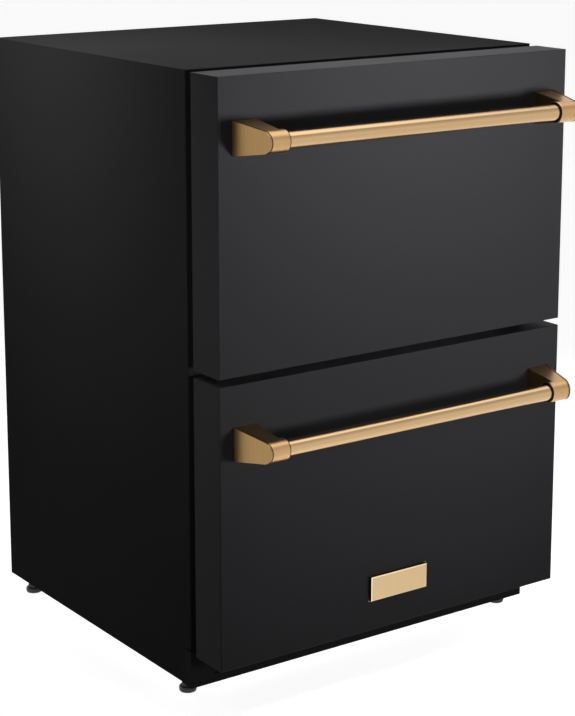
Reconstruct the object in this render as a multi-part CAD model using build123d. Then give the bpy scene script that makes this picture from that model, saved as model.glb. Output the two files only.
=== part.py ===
from build123d import *
import os
from math import cos, radians, sin, tan

os.makedirs("parts", exist_ok=True)

# An undercounter freezer with two drawers, in millimetres.
# X runs to the right along the front, the drawers open towards -Y, Z is up from the floor.

# Cabinet
cabinet_width = 600.0
cabinet_height = 856.0
cabinet_depth = 537.0
foot_height = 20.0
sheet = 1.0
sheet_bend = 2.0
rear_flange = 15.0
top_edge = 0.8

# Insulation and liner
side_insulation = 44.0
top_insulation = 45.0
back_insulation = 45.0
floor_insulation = 46.0
duct_height = 54.0
liner_wall = 2.0
liner_corner = 18.0
mullion_height = 66.0
mullion_depth = 45.0
mullion_corner = 8.0

# Machine compartment at the bottom of the back
machine_depth = 193.5
machine_height = 194.0
machine_cover_recess = 10.0
pan_rim = 11.0
louvre_columns = 3
louvre_rows = 8
louvre_side_inset = 80.0
louvre_height = 5.0
louvre_pitch = 12.0
louvre_bridge = 25.0
louvre_top_inset = 35.0
inlet_side_inset = 45.0
inlet_rise = 28.0
inlet_flange = 26.0
inlet_bush = 18.0
inlet_bore = 9.0
inlet_rim = 2.5
inlet_depth = 8.0

# Drawer fronts
front_thickness = 63.0
front_gap = 10.5
front_top_reveal = 2.0
front_edge = 1.5
gasket_gap = 13.5
gasket_width = 20.0
gasket_margin = 5.0
gasket_clearance = 0.3
gasket_base = 3.0
gasket_base_inset = 1.5
gasket_waist_inset = 5.0
gasket_head = 4.5
gasket_corner = 4.0
inner_panel = 3.0
plug_depth = 18.0
plug_margin = 15.0
plug_corner = 20.0
plug_taper = 5.0

# Handles
handle_drop = 80.5
handle_projection = 52.5
handle_inset = 21.3
handle_front_inset = 35.9
post_width = 37.1
post_height = 46.7
ferrule_diameter = 30.0
ferrule_end_inset = 67.1
ferrule_chamfer = 1.2
bar_diameter = 23.0
bar_insertion = 16.0
cap_thickness = 2.0
cap_edge = 0.9
cap_seam = 1.1
cap_seat_inset = 2.4

# Badge plate on the lower front
badge_width = 103.0
badge_height = 38.5
badge_thickness = 6.5
badge_flange = 1.4
badge_bevel = 0.9
badge_centre_rise = 63.7

# Kick grille
kick_height = 52.5
kick_cover = 4.0
kick_forward = 4.9
kick_overhang = 2.9
kick_return = 12.0
kick_sheet = 1.5
kick_slot_height = 5.0
kick_slot_pitch = 10.0
kick_slot_first = 15.2
kick_slot_inset = 34.0
kick_slot_bridge = 14.0
kick_slot_rows = 4
kick_slot_columns = 3
kick_seat_width = 20.0
kick_seat_height = 26.0
kick_seat_inset = 12.0

# Levelling feet
foot_diameter = 25.0
foot_pad = 8.0
foot_edge = 3.0
foot_hex = 17.0
foot_hex_height = 6.0
foot_stud = 10.0
foot_stud_reach = 32.0
running_clearance = 0.05
foot_side_inset = 14.5
foot_front_inset = 32.0
foot_back_inset = 50.0
foot_boss = 20.0
foot_boss_height = 18.0

# Telescopic slides with ball-bearing raceways; angles are measured round a ball
slide_height = 45.0
slide_sheet = 1.2
slide_front_inset = 12.0
slide_back_gap = 16.0
slide_side_gap = 0.5
slide_below_rim = 35.0
slide_reserve = 10.0
ball_diameter = 4.76
ball_clearance = 0.05
ball_cage_sheet = 0.5
ball_cage_margin = 12.5
lip_angle = 30.0
groove_angle = 35.0
middle_web_angle = 260.0
inner_web_angle = 290.0
inner_lip_angle = 235.0
outer_cage_hook = 1.4
inner_cage_hook = 1.2
inner_cage_drop = 1.1
inner_cage_gap = 0.4

# Drawer bins and the frames that carry them
rim_drop = 41.5
rim_thickness = 3.0
rim_width = 6.0
bin_wall = 2.5
bin_floor = 3.0
bin_corner = 28.0
bin_taper = 2.0
bin_front_gap = 6.0
bin_back_gap = 10.0
bin_clearance = 0.5
bin_floor_gap = 10.0
frame_sheet = 1.5
frame_ledge = 10.0
frame_web_drop = 20.0
frame_tab = 36.0

# Cooling parts
evaporator_space = 60.0
evaporator_side_gap = 55.0
evaporator_height = 280.0
evaporator_depth = 42.0
evaporator_rise = 20.0
cover_wall = 3.0
cover_margin = 4.0
cover_edge = 6.0
grille_rows = 8
grille_open = 0.6
air_slot_bridge = 140.0
air_slot_margin = 39.0
air_slot_height = 6.0
air_slot_pitch = 14.0
air_slot_rows = 6
air_slot_rise = 60.0
fan_diameter = 110.0
fan_hub = 28.0
fan_width = 18.0
fan_shaft = 5.0
fan_blade_count = 5
fan_blade_pitch = 32.0
fan_blade_sheet = 1.6
fan_motor = 44.0
fan_motor_length = 24.0
fan_gap = 3.0
fan_nose = 4.0
fan_arm = 6.0
fan_arm_count = 4
evaporator_fan_drop = 110.0
compressor_diameter = 140.0
compressor_height = 142.0
compressor_side_inset = 210.0
compressor_mount = 9.0
compressor_mount_height = 12.0
compressor_plate = 3.0
compressor_dome = 34.0
compressor_rim = 5.0
tray_depth = 16.0
tray_wall = 1.5
tray_corner = 12.0
condenser_side_inset = 135.0
condenser_width = 76.0
condenser_height = 150.0
condenser_front_gap = 15.0
condenser_back_gap = 22.0
condenser_fan_gap = 24.0
condenser_fan_rise = 80.0
shroud_margin = 22.0
fin_sheet = 2.0
fin_pitch = 9.0
fin_plate = 3.0
fin_end = 6.0
pipe_diameter = 8.0
pipe_stub = 14.0
pipe_end = 20.0
control_box_width = 60.0
control_box_height = 130.0
control_box_inset = 35.0
control_box_front_gap = 30.0
control_box_back_gap = 40.0
control_box_chamfer = 4.0

# Controls and lights
control_width = 220.0
control_depth = 46.0
control_height = 22.0
control_front_inset = 8.0
control_front_lean = 5.0
control_back_lean = 14.0
control_edge = 3.0
light_length = 300.0
light_depth = 16.0
light_height = 6.0
light_edge = 2.0
upper_light_inset = 90.0
lower_light_inset = 14.0

# Places that follow from the sizes above
half_width = cabinet_width / 2
base_z = foot_height
top_z = base_z + cabinet_height
handle_reach = handle_projection + ferrule_diameter / 2
overall_depth = cabinet_depth + gasket_gap + front_thickness + handle_reach
back_y = overall_depth / 2
cabinet_front_y = back_y - cabinet_depth
inside_x = half_width - sheet_bend
panel_back_y = cabinet_front_y - gasket_gap
front_face_y = panel_back_y - front_thickness
handle_y = front_face_y - handle_projection
foam_back_y = back_y - 2 * sheet

liner_outer_x = half_width - sheet - side_insulation
liner_x = liner_outer_x - liner_wall
duct_top_z = base_z + sheet + duct_height
rail_top_z = duct_top_z + floor_insulation
bay_floor_z = rail_top_z + liner_wall
ceiling_outer_z = top_z - sheet - top_insulation
ceiling_z = ceiling_outer_z - liner_wall
machine_top_z = base_z + sheet + machine_height
machine_front_y = foam_back_y - machine_depth
machine_floor_z = base_z + sheet
machine_back_y = back_y - machine_cover_recess
machine_y = (machine_front_y + machine_back_y) / 2
inlet_x = half_width - inlet_side_inset
inlet_z = base_z + inlet_rise
compressor_x = -half_width + compressor_side_inset
compressor_z = machine_floor_z + compressor_mount_height
compressor_top_z = compressor_z + compressor_height
condenser_x = half_width - condenser_side_inset
condenser_fan_x = condenser_x - condenser_width / 2 - condenser_fan_gap - cover_wall
step_z = machine_top_z + floor_insulation
step_y = machine_front_y - back_insulation
cavity_back_y = foam_back_y - back_insulation
liner_back_y = cavity_back_y - liner_wall
cover_face_y = liner_back_y - evaporator_space
evaporator_fan_z = ceiling_z - evaporator_fan_drop

lower_front_z = base_z + kick_height - kick_cover
front_height = (top_z - front_top_reveal - front_gap - lower_front_z) / 2
upper_front_z = lower_front_z + front_height + front_gap
mullion_z = upper_front_z - front_gap / 2
mullion_top_z = mullion_z + mullion_height / 2
mullion_bottom_z = mullion_z - mullion_height / 2
upper_rim_z = ceiling_z - rim_drop
lower_rim_z = mullion_bottom_z - rim_drop

ball_radius = ball_diameter / 2
groove_radius = ball_radius + ball_clearance
sheet_radius = groove_radius + slide_sheet / 2
outer_ball_u = slide_sheet / 2 + sheet_radius
outer_ball_w = slide_height / 2 - slide_sheet / 2 - sheet_radius
inner_ball_u = outer_ball_u + 2 * sheet_radius * cos(radians(groove_angle))
inner_ball_w = outer_ball_w - 2 * sheet_radius * sin(radians(groove_angle))
middle_web_u = outer_ball_u + sheet_radius * cos(radians(middle_web_angle))
lip_u = inner_ball_u + (groove_radius + slide_sheet) * cos(radians(groove_angle))
slide_width = lip_u + slide_side_gap
slide_front_y = cabinet_front_y + slide_front_inset
slide_back_y = cover_face_y - slide_back_gap
slide_length = slide_back_y - slide_front_y
drawer_travel = slide_length - slide_reserve
ball_cage_length = slide_length - drawer_travel / 2 - 2 * ball_cage_margin
frame_x = liner_x - slide_width
bin_x = frame_x - frame_sheet - frame_ledge - bin_clearance
rim_x = bin_x + rim_width
bin_front_y = panel_back_y + plug_depth + bin_front_gap
bin_back_y = slide_back_y - bin_back_gap
deep_back_y = step_y - liner_wall - bin_back_gap
fan_stack = fan_gap + fan_width + fan_gap
bar_end_x = half_width - ferrule_end_inset + bar_insertion


def rect(across, up, radius=0.0):
    """A rectangle between two pairs of sketch coordinates, with round corners if asked."""
    width = across[1] - across[0]
    height = up[1] - up[0]
    shape = RectangleRounded(width, height, radius) if radius > 0 else Rectangle(width, height)
    return Pos((across[0] + across[1]) / 2, (up[0] + up[1]) / 2) * shape


def along_x(sketch, low, high):
    """Extrude a sketch of Y and Z from low to high in X."""
    return extrude(Plane.YZ.offset(low) * sketch, amount=high - low)


def along_y(sketch, low, high, taper=0.0):
    """Extrude a sketch of X and Z from high back to low in Y, narrowing by the taper."""
    return extrude(Plane.XZ.offset(-high) * sketch, amount=high - low, taper=taper)


def along_z(sketch, low, high):
    """Extrude a sketch of X and Y from low to high in Z."""
    return extrude(Plane.XY.offset(low) * sketch, amount=high - low)


def block(across, deep, up):
    """A plain block between three pairs of coordinates."""
    return along_z(rect(across, deep), up[0], up[1])


def cylinder_x(radius, low, high, y, z):
    """A round bar along X."""
    return along_x(Pos(y, z) * Circle(radius), low, high)


def cylinder_y(radius, low, high, x, z):
    """A round bar along Y."""
    return along_y(Pos(x, z) * Circle(radius), low, high)


def cylinder_z(radius, low, high, x, y):
    """A round bar along Z."""
    return along_z(Pos(x, y) * Circle(radius), low, high)


def folded_sheet(points, thickness, side, bend=0.0):
    """The cross-section of a folded sheet that lies on one side of a line of points."""
    line = FilletPolyline(*points, radius=bend) if bend > 0 else Polyline(*points)
    band = offset(line, amount=thickness, side=side, kind=Kind.INTERSECTION)
    return make_face(band.edges())


def both_sides(shape):
    """A shape and its mirror image in the cabinet's middle plane, as separate solids."""
    return [shape, mirror(shape, about=Plane.YZ)]


def write(name, solids):
    """Write one node: a single solid or a list of separate ones."""
    pieces = solids if isinstance(solids, list) else [solids]
    shapes = [piece.solid() for piece in pieces]
    export_step(Compound(children=shapes) if len(shapes) > 1 else shapes[0], "parts/" + name + ".step")


# Outer case


def side_panel():
    """The left wall: one sheet with a wide sealing flange in front and a narrow one behind."""
    points = [
        (-liner_outer_x, cabinet_front_y),
        (-half_width, cabinet_front_y),
        (-half_width, back_y),
        (-half_width + rear_flange, back_y),
    ]
    section = folded_sheet(points, sheet, Side.RIGHT, sheet_bend)
    return along_z(section, base_z, top_z - sheet)


def top_panel():
    """The lid: a flat sheet with a deep front flange and a short rear one."""
    lid = block((-half_width, half_width), (cabinet_front_y, back_y), (top_z - sheet, top_z))
    front_edges = lid.edges().filter_by(Axis.X).group_by(Axis.Z)[-1].sort_by(Axis.Y)
    lid = fillet([front_edges[0], front_edges[-1]], top_edge)
    front_flange = block(
        (-liner_outer_x, liner_outer_x),
        (cabinet_front_y, cabinet_front_y + sheet),
        (ceiling_outer_z, top_z - sheet),
    )
    rear_x = half_width - rear_flange
    back_flange = block(
        (-rear_x, rear_x), (back_y - sheet, back_y), (top_z - sheet - rear_flange, top_z - sheet)
    )
    return lid + front_flange + back_flange


def back_panel():
    """The rear sheet behind the foam, above the machine compartment."""
    up = (machine_top_z - sheet, top_z - sheet)
    return block((-inside_x, inside_x), (foam_back_y, foam_back_y + sheet), up)


def case_bottom():
    """The stepped sheet under the foam; its front flange is the lower sealing rail."""
    points = [
        (cabinet_front_y + sheet, rail_top_z),
        (cabinet_front_y + sheet, duct_top_z),
        (machine_front_y, duct_top_z),
        (machine_front_y, machine_top_z),
        (foam_back_y, machine_top_z),
    ]
    tray = along_x(folded_sheet(points, sheet, Side.RIGHT), -inside_x, inside_x)
    deep = (cabinet_front_y, cabinet_front_y + sheet)
    for corner in both_sides(block((liner_outer_x, half_width), deep, (base_z, rail_top_z))):
        tray = tray - corner
    return tray


def base_pan():
    """The floor tray of the machine space, with a threaded boss for each foot."""
    front = cabinet_front_y + sheet
    back = machine_back_y - sheet
    up = (base_z, base_z + pan_rim)
    tray = block((-inside_x, inside_x), (front, back), up)
    tray -= block(
        (-inside_x + sheet, inside_x - sheet), (front + sheet, back - sheet), (machine_floor_z, up[1])
    )
    for x, y in foot_places():
        tray += cylinder_z(foot_boss / 2, base_z, base_z + foot_boss_height, x, y)
        tray -= cylinder_z(foot_stud / 2, base_z, base_z + foot_boss_height, x, y)
    return tray


def foot_places():
    """The centre of each foot: front left, front right, back left, back right."""
    x = half_width - foot_side_inset
    front = cabinet_front_y + foot_front_inset
    back = back_y - foot_back_inset
    return [(-x, front), (x, front), (-x, back), (x, back)]


def foot(x, y):
    """A levelling foot: a round pad, a hexagon for the spanner and a stud."""
    pad = cylinder_z(foot_diameter / 2, 0, foot_pad, x, y)
    pad = fillet(pad.edges().sort_by(Axis.Z)[0], foot_edge)
    nut = along_z(
        Pos(x, y) * RegularPolygon(foot_hex / 2, 6, major_radius=False),
        foot_pad,
        foot_pad + foot_hex_height,
    )
    stud = cylinder_z(
        foot_stud / 2 - running_clearance, foot_pad, base_z + foot_stud_reach, x, y
    )
    return pad + nut + stud


def kick_grille():
    """The slotted plate below the lower drawer; its ends wrap round the side panels."""
    outer_x = half_width + kick_overhang
    face_y = cabinet_front_y - kick_forward
    points = [
        (-outer_x, cabinet_front_y + kick_return),
        (-outer_x, face_y),
        (outer_x, face_y),
        (outer_x, cabinet_front_y + kick_return),
    ]
    section = folded_sheet(points, kick_sheet, Side.LEFT)
    plate = along_z(section, base_z, base_z + kick_height)
    seat_x = half_width - kick_seat_inset
    seat_z = base_z + (kick_height - kick_seat_height) / 2
    for seat in both_sides(
        block(
            (seat_x - kick_seat_width, seat_x),
            (face_y + kick_sheet, cabinet_front_y),
            (seat_z, seat_z + kick_seat_height),
        )
    ):
        plate = plate + seat
    slot_field = cabinet_width - 2 * kick_slot_inset
    slot_pitch = (slot_field + kick_slot_bridge) / kick_slot_columns
    slot_length = slot_pitch - kick_slot_bridge
    for row in range(kick_slot_rows):
        for column in range(kick_slot_columns):
            x = (column - (kick_slot_columns - 1) / 2) * slot_pitch
            z = base_z + kick_slot_first + row * kick_slot_pitch
            slot = Pos(x, z) * SlotOverall(slot_length, kick_slot_height)
            plate -= along_y(slot, face_y - sheet, face_y + kick_sheet + sheet)
    return plate


def machine_cover():
    """The louvred tray over the machine compartment, screwed in from behind."""
    low = machine_floor_z
    high = machine_top_z - sheet
    front = machine_back_y - sheet
    cover = block((-inside_x, inside_x), (front, foam_back_y + sheet), (low, high))
    cover -= block(
        (-inside_x + sheet, inside_x - sheet), (machine_back_y, back_y), (low + sheet, high - sheet)
    )
    louvre_field = cabinet_width - 2 * louvre_side_inset
    louvre_step = (louvre_field + louvre_bridge) / louvre_columns
    louvre_length = louvre_step - louvre_bridge
    for column in range(louvre_columns):
        x = (column - (louvre_columns - 1) / 2) * louvre_step
        for row in range(louvre_rows):
            z = high - louvre_top_inset - row * louvre_pitch
            slot = rect((x - louvre_length / 2, x + louvre_length / 2), (z - louvre_height, z))
            cover -= along_y(slot, front - sheet, back_y)
    return cover - cylinder_y(inlet_bush / 2, front - sheet, back_y, inlet_x, inlet_z)


def power_inlet():
    """The gland in the machine cover where the mains supply enters."""
    front = machine_back_y - inlet_depth
    back = machine_back_y + inlet_depth
    gland = cylinder_y(inlet_flange / 2, machine_back_y, machine_back_y + inlet_rim, inlet_x, inlet_z)
    gland += cylinder_y(inlet_bush / 2, front, back, inlet_x, inlet_z)
    return gland - cylinder_y(inlet_bore / 2, front, back, inlet_x, inlet_z)


# Insulated shell


def cavity(wall):
    """The space in the foam, drawn in by a wall: open in front, with a step at the back."""
    front = cabinet_front_y - cabinet_depth
    points = [
        (front, rail_top_z),
        (step_y, rail_top_z),
        (step_y, step_z),
        (cavity_back_y, step_z),
        (cavity_back_y, ceiling_outer_z),
        (front, ceiling_outer_z),
    ]
    outline = make_face(Polyline(*points, close=True))
    outline = fillet([v for v in outline.vertices() if v.X > cabinet_front_y], liner_corner)
    if wall > 0:
        outline = offset(outline, amount=-wall)
    across = (-liner_outer_x + wall, liner_outer_x - wall)
    deep = (cabinet_front_y, cavity_back_y - wall)
    up = (rail_top_z + wall, ceiling_outer_z - wall)
    mouth = rect(across, up, liner_corner - wall)
    plan = rect(across, deep)
    plan = fillet(plan.vertices().group_by(Axis.Y)[-1], liner_corner - wall)
    return along_x(outline, *across) & along_y(mouth, *deep) & along_z(plan, *up)


def insulation_foam():
    """The foamed-in shell between the outer case and the liner."""
    points = [
        (cabinet_front_y + sheet, duct_top_z),
        (machine_front_y, duct_top_z),
        (machine_front_y, machine_top_z),
        (foam_back_y, machine_top_z),
        (foam_back_y, top_z - sheet),
        (cabinet_front_y + sheet, top_z - sheet),
    ]
    outer_x = half_width - sheet
    shell = along_x(make_face(Polyline(*points, close=True)), -outer_x, outer_x)
    front_corners = shell.edges().filter_by(Axis.Z).group_by(Axis.Y)[0]
    return chamfer(front_corners, sheet_bend - sheet) - cavity(0)


def inner_liner():
    """The moulded inner tub, open in front, with a step over the machine compartment."""
    return cavity(0) - cavity(liner_wall)


def mullion():
    """The insulated bar between the two drawers that both gaskets seal on."""
    section = rect(
        (cabinet_front_y, cabinet_front_y + mullion_depth), (mullion_bottom_z, mullion_top_z)
    )
    rear = section.vertices().group_by(Axis.X)[-1]
    return along_x(fillet(rear, mullion_corner), -liner_x, liner_x)


# Machinery


def compressor():
    """The hermetic compressor: a domed pot on a foot plate with four rubber mounts."""
    radius = compressor_diameter / 2
    pot = cylinder_z(radius, compressor_z, compressor_top_z, compressor_x, machine_y)
    pot = fillet(pot.edges().sort_by(Axis.Z)[-1], compressor_dome)
    pot = chamfer(pot.edges().sort_by(Axis.Z)[0], compressor_rim)
    half_plate = radius + compressor_mount
    body = pot + block(
        (compressor_x - half_plate, compressor_x + half_plate),
        (machine_y - radius, machine_y + radius),
        (compressor_z - compressor_plate, compressor_z),
    )
    for sx in (-1, 1):
        for sy in (-1, 1):
            body += cylinder_z(
                compressor_mount,
                machine_floor_z,
                compressor_z,
                compressor_x + sx * (half_plate - compressor_mount),
                machine_y + sy * (radius - compressor_mount),
            )
    stub_x = compressor_x + radius - compressor_dome / 2
    return body + cylinder_z(
        pipe_diameter / 2, compressor_z, compressor_top_z + pipe_stub, stub_x, machine_y
    )


def drip_tray():
    """The evaporation tray that stands on the compressor's dome, clear of its pipe stub."""
    across = (
        compressor_x - compressor_diameter / 2,
        compressor_x + compressor_diameter / 2 - compressor_dome - pipe_diameter,
    )
    deep = (machine_y - compressor_diameter / 2, machine_y + compressor_diameter / 2)
    tray = along_z(rect(across, deep, tray_corner), compressor_top_z, compressor_top_z + tray_depth)
    hollow = rect(
        (across[0] + tray_wall, across[1] - tray_wall),
        (deep[0] + tray_wall, deep[1] - tray_wall),
        tray_corner - tray_wall,
    )
    return tray - along_z(hollow, compressor_top_z + tray_wall, compressor_top_z + tray_depth)


def finned_block(across, deep, up):
    """A block of upright fins on a thin back plate between two end bars, for a heat exchanger."""
    core = block(across, deep, up)
    count = int((across[1] - across[0] - fin_sheet) // fin_pitch)
    for i in range(count):
        x = across[0] + fin_sheet + i * fin_pitch
        core -= block(
            (x, x + fin_pitch - fin_sheet),
            (deep[0], deep[1] - fin_plate),
            (up[0] + fin_end, up[1] - fin_end),
        )
    return core


def condenser():
    """The fan-cooled condenser on the base pan, with its two pipe stubs."""
    deep = (machine_front_y + condenser_front_gap, machine_back_y - condenser_back_gap)
    across = (condenser_x - condenser_width / 2, condenser_x + condenser_width / 2)
    up = (machine_floor_z, machine_floor_z + condenser_height)
    core = finned_block(across, deep, up)
    stub_y = deep[1] - pipe_diameter
    for z in (up[0] + pipe_end, up[1] - pipe_end):
        core += cylinder_x(pipe_diameter / 2, across[1] - fin_sheet, across[1] + pipe_stub, stub_y, z)
    return core


def fan_blades():
    """A fan wheel about Z: a hub with a blind bore and pitched blades."""
    tips = Cylinder(fan_diameter / 2, fan_width) - Cylinder(fan_hub / 2 - fan_blade_sheet, fan_width)
    wheel = Cylinder(fan_hub / 2, fan_width)
    blade_length = fan_diameter / 2
    chord = fan_width / sin(radians(fan_blade_pitch))
    blade = Box(blade_length, chord, fan_blade_sheet)
    blade = Pos(blade_length / 2, 0, 0) * Rot(fan_blade_pitch, 0, 0) * blade & tips
    for i in range(fan_blade_count):
        wheel += Rot(0, 0, i * 360.0 / fan_blade_count) * blade
    bore = Cylinder(fan_shaft / 2 + running_clearance, fan_width - fan_nose)
    return wheel - Pos(0, 0, -fan_nose / 2) * bore


def fan_motor_body():
    """A fan motor about Z: its shaft, and a bracket of four arms and posts round the wheel."""
    shaft_length = fan_gap + fan_width - fan_nose - running_clearance
    body = Pos(0, 0, -fan_motor_length / 2) * Cylinder(fan_motor / 2, fan_motor_length)
    body += Pos(0, 0, shaft_length / 2) * Cylinder(fan_shaft / 2, shaft_length)
    reach = fan_diameter / 2 + fan_arm + 2 * fan_gap
    arm = Pos(reach / 2, 0, -fan_arm / 2) * Box(reach, fan_arm, fan_arm)
    post_length = fan_stack + fan_arm
    post = Pos(reach - fan_arm / 2, 0, fan_stack - post_length / 2) * Box(fan_arm, fan_arm, post_length)
    for i in range(fan_arm_count):
        body += Rot(0, 0, (i + 0.5) * 360.0 / fan_arm_count) * (arm + post)
    return body


def evaporator_fan_place():
    """The mounting point of the evaporator fan, on the back of its cover."""
    y = cover_face_y + cover_wall + fan_stack
    return Location((0, y, evaporator_fan_z), (90, 0, 0))


def condenser_fan_place():
    """The mounting point of the condenser fan, on its shroud."""
    z = machine_floor_z + condenser_fan_rise
    return Location((condenser_fan_x - fan_stack, machine_y, z), (0, 90, 0))


def fan_wheel(place):
    """A fan wheel on the shaft of the motor at a mounting point."""
    return place * Pos(0, 0, fan_gap + fan_width / 2) * fan_blades()


def condenser_fan_motor():
    """The shroud plate that draws air through the condenser, and its motor."""
    across = (condenser_fan_x, condenser_fan_x + cover_wall)
    half = fan_diameter / 2 + shroud_margin
    centre_z = machine_floor_z + condenser_fan_rise
    plate = block(across, (machine_y - half, machine_y + half), (machine_floor_z, centre_z + half))
    mouth = fan_diameter / 2 + fan_gap
    plate -= cylinder_x(mouth, across[0], across[1], machine_y, centre_z)
    return plate + condenser_fan_place() * fan_motor_body()


def control_box():
    """The electronics box beside the compressor, with a bevelled lid."""
    low_x = -half_width + control_box_inset
    deep = (machine_front_y + control_box_front_gap, machine_back_y - control_box_back_gap)
    up = (machine_floor_z, machine_floor_z + control_box_height)
    box = block((low_x, low_x + control_box_width), deep, up)
    return chamfer(box.faces().sort_by(Axis.X)[-1].edges(), control_box_chamfer)


def evaporator():
    """The finned evaporator block on the liner's back wall, with its two pipe stubs."""
    half = liner_x - evaporator_side_gap
    across = (-half, half)
    low = step_z + liner_wall + evaporator_rise
    up = (low, low + evaporator_height)
    deep = (liner_back_y - evaporator_depth, liner_back_y)
    core = finned_block(across, deep, up)
    stub_y = liner_back_y - pipe_diameter
    for z in (up[0] + pipe_end, up[1] - pipe_end):
        core += cylinder_x(pipe_diameter / 2, across[1] - fin_sheet, across[1] + pipe_stub, stub_y, z)
    return core


def evaporator_cover():
    """The inner back wall: a shallow moulded pan with air slots and a fan grille."""
    low = step_z + liner_wall
    half = liner_x - cover_margin
    back = liner_back_y - liner_corner
    cover = along_y(rect((-half, half), (low, ceiling_z), liner_corner), cover_face_y, back)
    cover = fillet(cover.faces().sort_by(Axis.Y)[0].edges(), cover_edge)
    hollow = rect(
        (-half + cover_wall, half - cover_wall),
        (low + cover_wall, ceiling_z - cover_wall),
        liner_corner - cover_wall,
    )
    cover -= along_y(hollow, cover_face_y + cover_wall, back)
    return cover - fan_grille() - air_slots(low, half)


def fan_grille():
    """The slots in front of the evaporator fan, cut to a round outline."""
    radius = fan_diameter / 2
    pitch = 2 * radius / grille_rows
    slots = Part()
    for i in range(grille_rows):
        rise = -radius + (i + 0.5) * pitch
        half = (radius**2 - rise**2) ** 0.5
        z = evaporator_fan_z + rise
        slot = rect((-half, half), (z - pitch * grille_open / 2, z + pitch * grille_open / 2))
        slots += along_y(slot, cover_face_y, cover_face_y + cover_wall)
    return slots


def air_slots(low, half):
    """The two banks of return-air slots low in the evaporator cover."""
    slots = Part()
    for row in range(air_slot_rows):
        z = low + air_slot_rise + row * air_slot_pitch
        slot = rect((air_slot_bridge / 2, half - air_slot_margin), (z, z + air_slot_height))
        for cut in both_sides(along_y(slot, cover_face_y, cover_face_y + cover_wall)):
            slots += cut
    return slots


def control_panel():
    """The touch control housing under the ceiling, with a sloping face to the front."""
    front = cabinet_front_y + control_front_inset
    back = front + control_depth
    low = ceiling_z - control_height
    points = [
        (front, ceiling_z),
        (front + control_front_lean, low),
        (back, low),
        (back + control_back_lean, ceiling_z),
    ]
    section = make_face(Polyline(*points, close=True))
    section = fillet(section.vertices().group_by(Axis.Y)[0], control_edge)
    return along_x(section, -control_width / 2, control_width / 2)


def light_bar(top, front):
    """A light strip under a ceiling or under the mullion."""
    section = rect((front, front + light_depth), (top - light_height, top))
    section = fillet(section.vertices().group_by(Axis.Y)[0], light_edge)
    return along_x(section, -light_length / 2, light_length / 2)


# Drawers


def front_skin(bottom):
    """The painted steel face of a drawer: a pan with crisp folded edges, open behind."""
    up = (bottom, bottom + front_height)
    face = block((-half_width, half_width), (front_face_y, panel_back_y), up)
    face = fillet(face.faces().sort_by(Axis.Y)[0].edges(), front_edge)
    return face - front_layer(bottom, front_face_y + sheet, panel_back_y)


def front_layer(bottom, low_y, high_y):
    """One layer of what fills the pan of a drawer front."""
    across = (-half_width + sheet, half_width - sheet)
    return block(across, (low_y, high_y), (bottom + sheet, bottom + front_height - sheet))


def foam_core(bottom):
    """The foam that fills a drawer front."""
    return front_layer(bottom, front_face_y + sheet, panel_back_y - inner_panel)


def front_liner(bottom, opening):
    """The moulded inner panel of a drawer front, with a tapered plug that enters the bay."""
    panel = front_layer(bottom, panel_back_y - inner_panel, panel_back_y)
    plug_x = liner_x - plug_margin
    plug = rect((-plug_x, plug_x), (opening[0] + plug_margin, opening[1] - plug_margin), plug_corner)
    plane = Plane.XZ.offset(-panel_back_y)
    return panel + extrude(plane * plug, amount=-plug_depth, taper=plug_taper)


def gasket(opening):
    """The magnetic door seal: a base strip, a narrow bellows and a wide magnet head."""
    inner_x = liner_x + gasket_margin
    inner_z = (opening[0] - gasket_margin, opening[1] + gasket_margin)
    base_y = panel_back_y + gasket_base
    back = cabinet_front_y - gasket_clearance
    head_y = back - gasket_head
    seal = gasket_ring(inner_x, inner_z, gasket_base_inset, panel_back_y, base_y)
    seal += gasket_ring(inner_x, inner_z, gasket_waist_inset, base_y, head_y)
    return seal + gasket_ring(inner_x, inner_z, 0.0, head_y, back)


def gasket_ring(inner_x, inner_z, inset, low_y, high_y):
    """One layer of the seal, drawn in from both edges of its width."""
    outer = gasket_width - inset
    frame = rect(
        (-inner_x - outer, inner_x + outer), (inner_z[0] - outer, inner_z[1] + outer), gasket_corner
    )
    hole = rect((-inner_x - inset, inner_x + inset), (inner_z[0] - inset, inner_z[1] + inset))
    return along_y(frame - hole, low_y, high_y)


def handle_outline(inset):
    """A handle post from the side: tall at the front panel and round at the nose."""
    base_y = front_face_y
    radius = ferrule_diameter / 2 - inset
    half_base = post_height / 2 - inset
    nose = Pos(handle_y, 0) * Circle(radius)
    foot_line = Polyline((base_y, -half_base), (base_y, half_base))
    return make_hull(nose.edges() + foot_line.edges())


def slanted_plane(depth):
    """The plane of a post's outer side, which slopes in towards the nose, moved in by a depth."""
    nose_y = handle_y - ferrule_diameter / 2
    slope = Vector(handle_front_inset - handle_inset, nose_y - front_face_y, 0)
    start = Vector(-half_width + handle_inset, front_face_y, 0)
    inward = Vector(-slope.Y, slope.X, 0).normalized()
    return Plane(origin=start + inward * depth, x_dir=slope.normalized(), z_dir=inward)


def post_blank(z, inset):
    """A left handle post with its ferrule, before the end cap is cut off it."""
    inner_x = -half_width + handle_inset + post_width
    ferrule_x = -half_width + ferrule_end_inset
    post = along_x(Pos(0, z) * handle_outline(inset), -half_width, inner_x)
    ferrule = cylinder_x(ferrule_diameter / 2 - inset, inner_x, ferrule_x, handle_y, z)
    ferrule = chamfer(ferrule.edges().sort_by(Axis.X)[-1], ferrule_chamfer)
    return post + ferrule


def handle_post(z):
    """The cast left post, seated on the front, with a socket for the bar."""
    blank = split(post_blank(z, 0.0), bisect_by=slanted_plane(cap_thickness + cap_seam), keep=Keep.TOP)
    radius = bar_diameter / 2 + running_clearance
    return blank - cylinder_x(radius, -bar_end_x, -half_width + ferrule_end_inset, handle_y, z)


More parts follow.
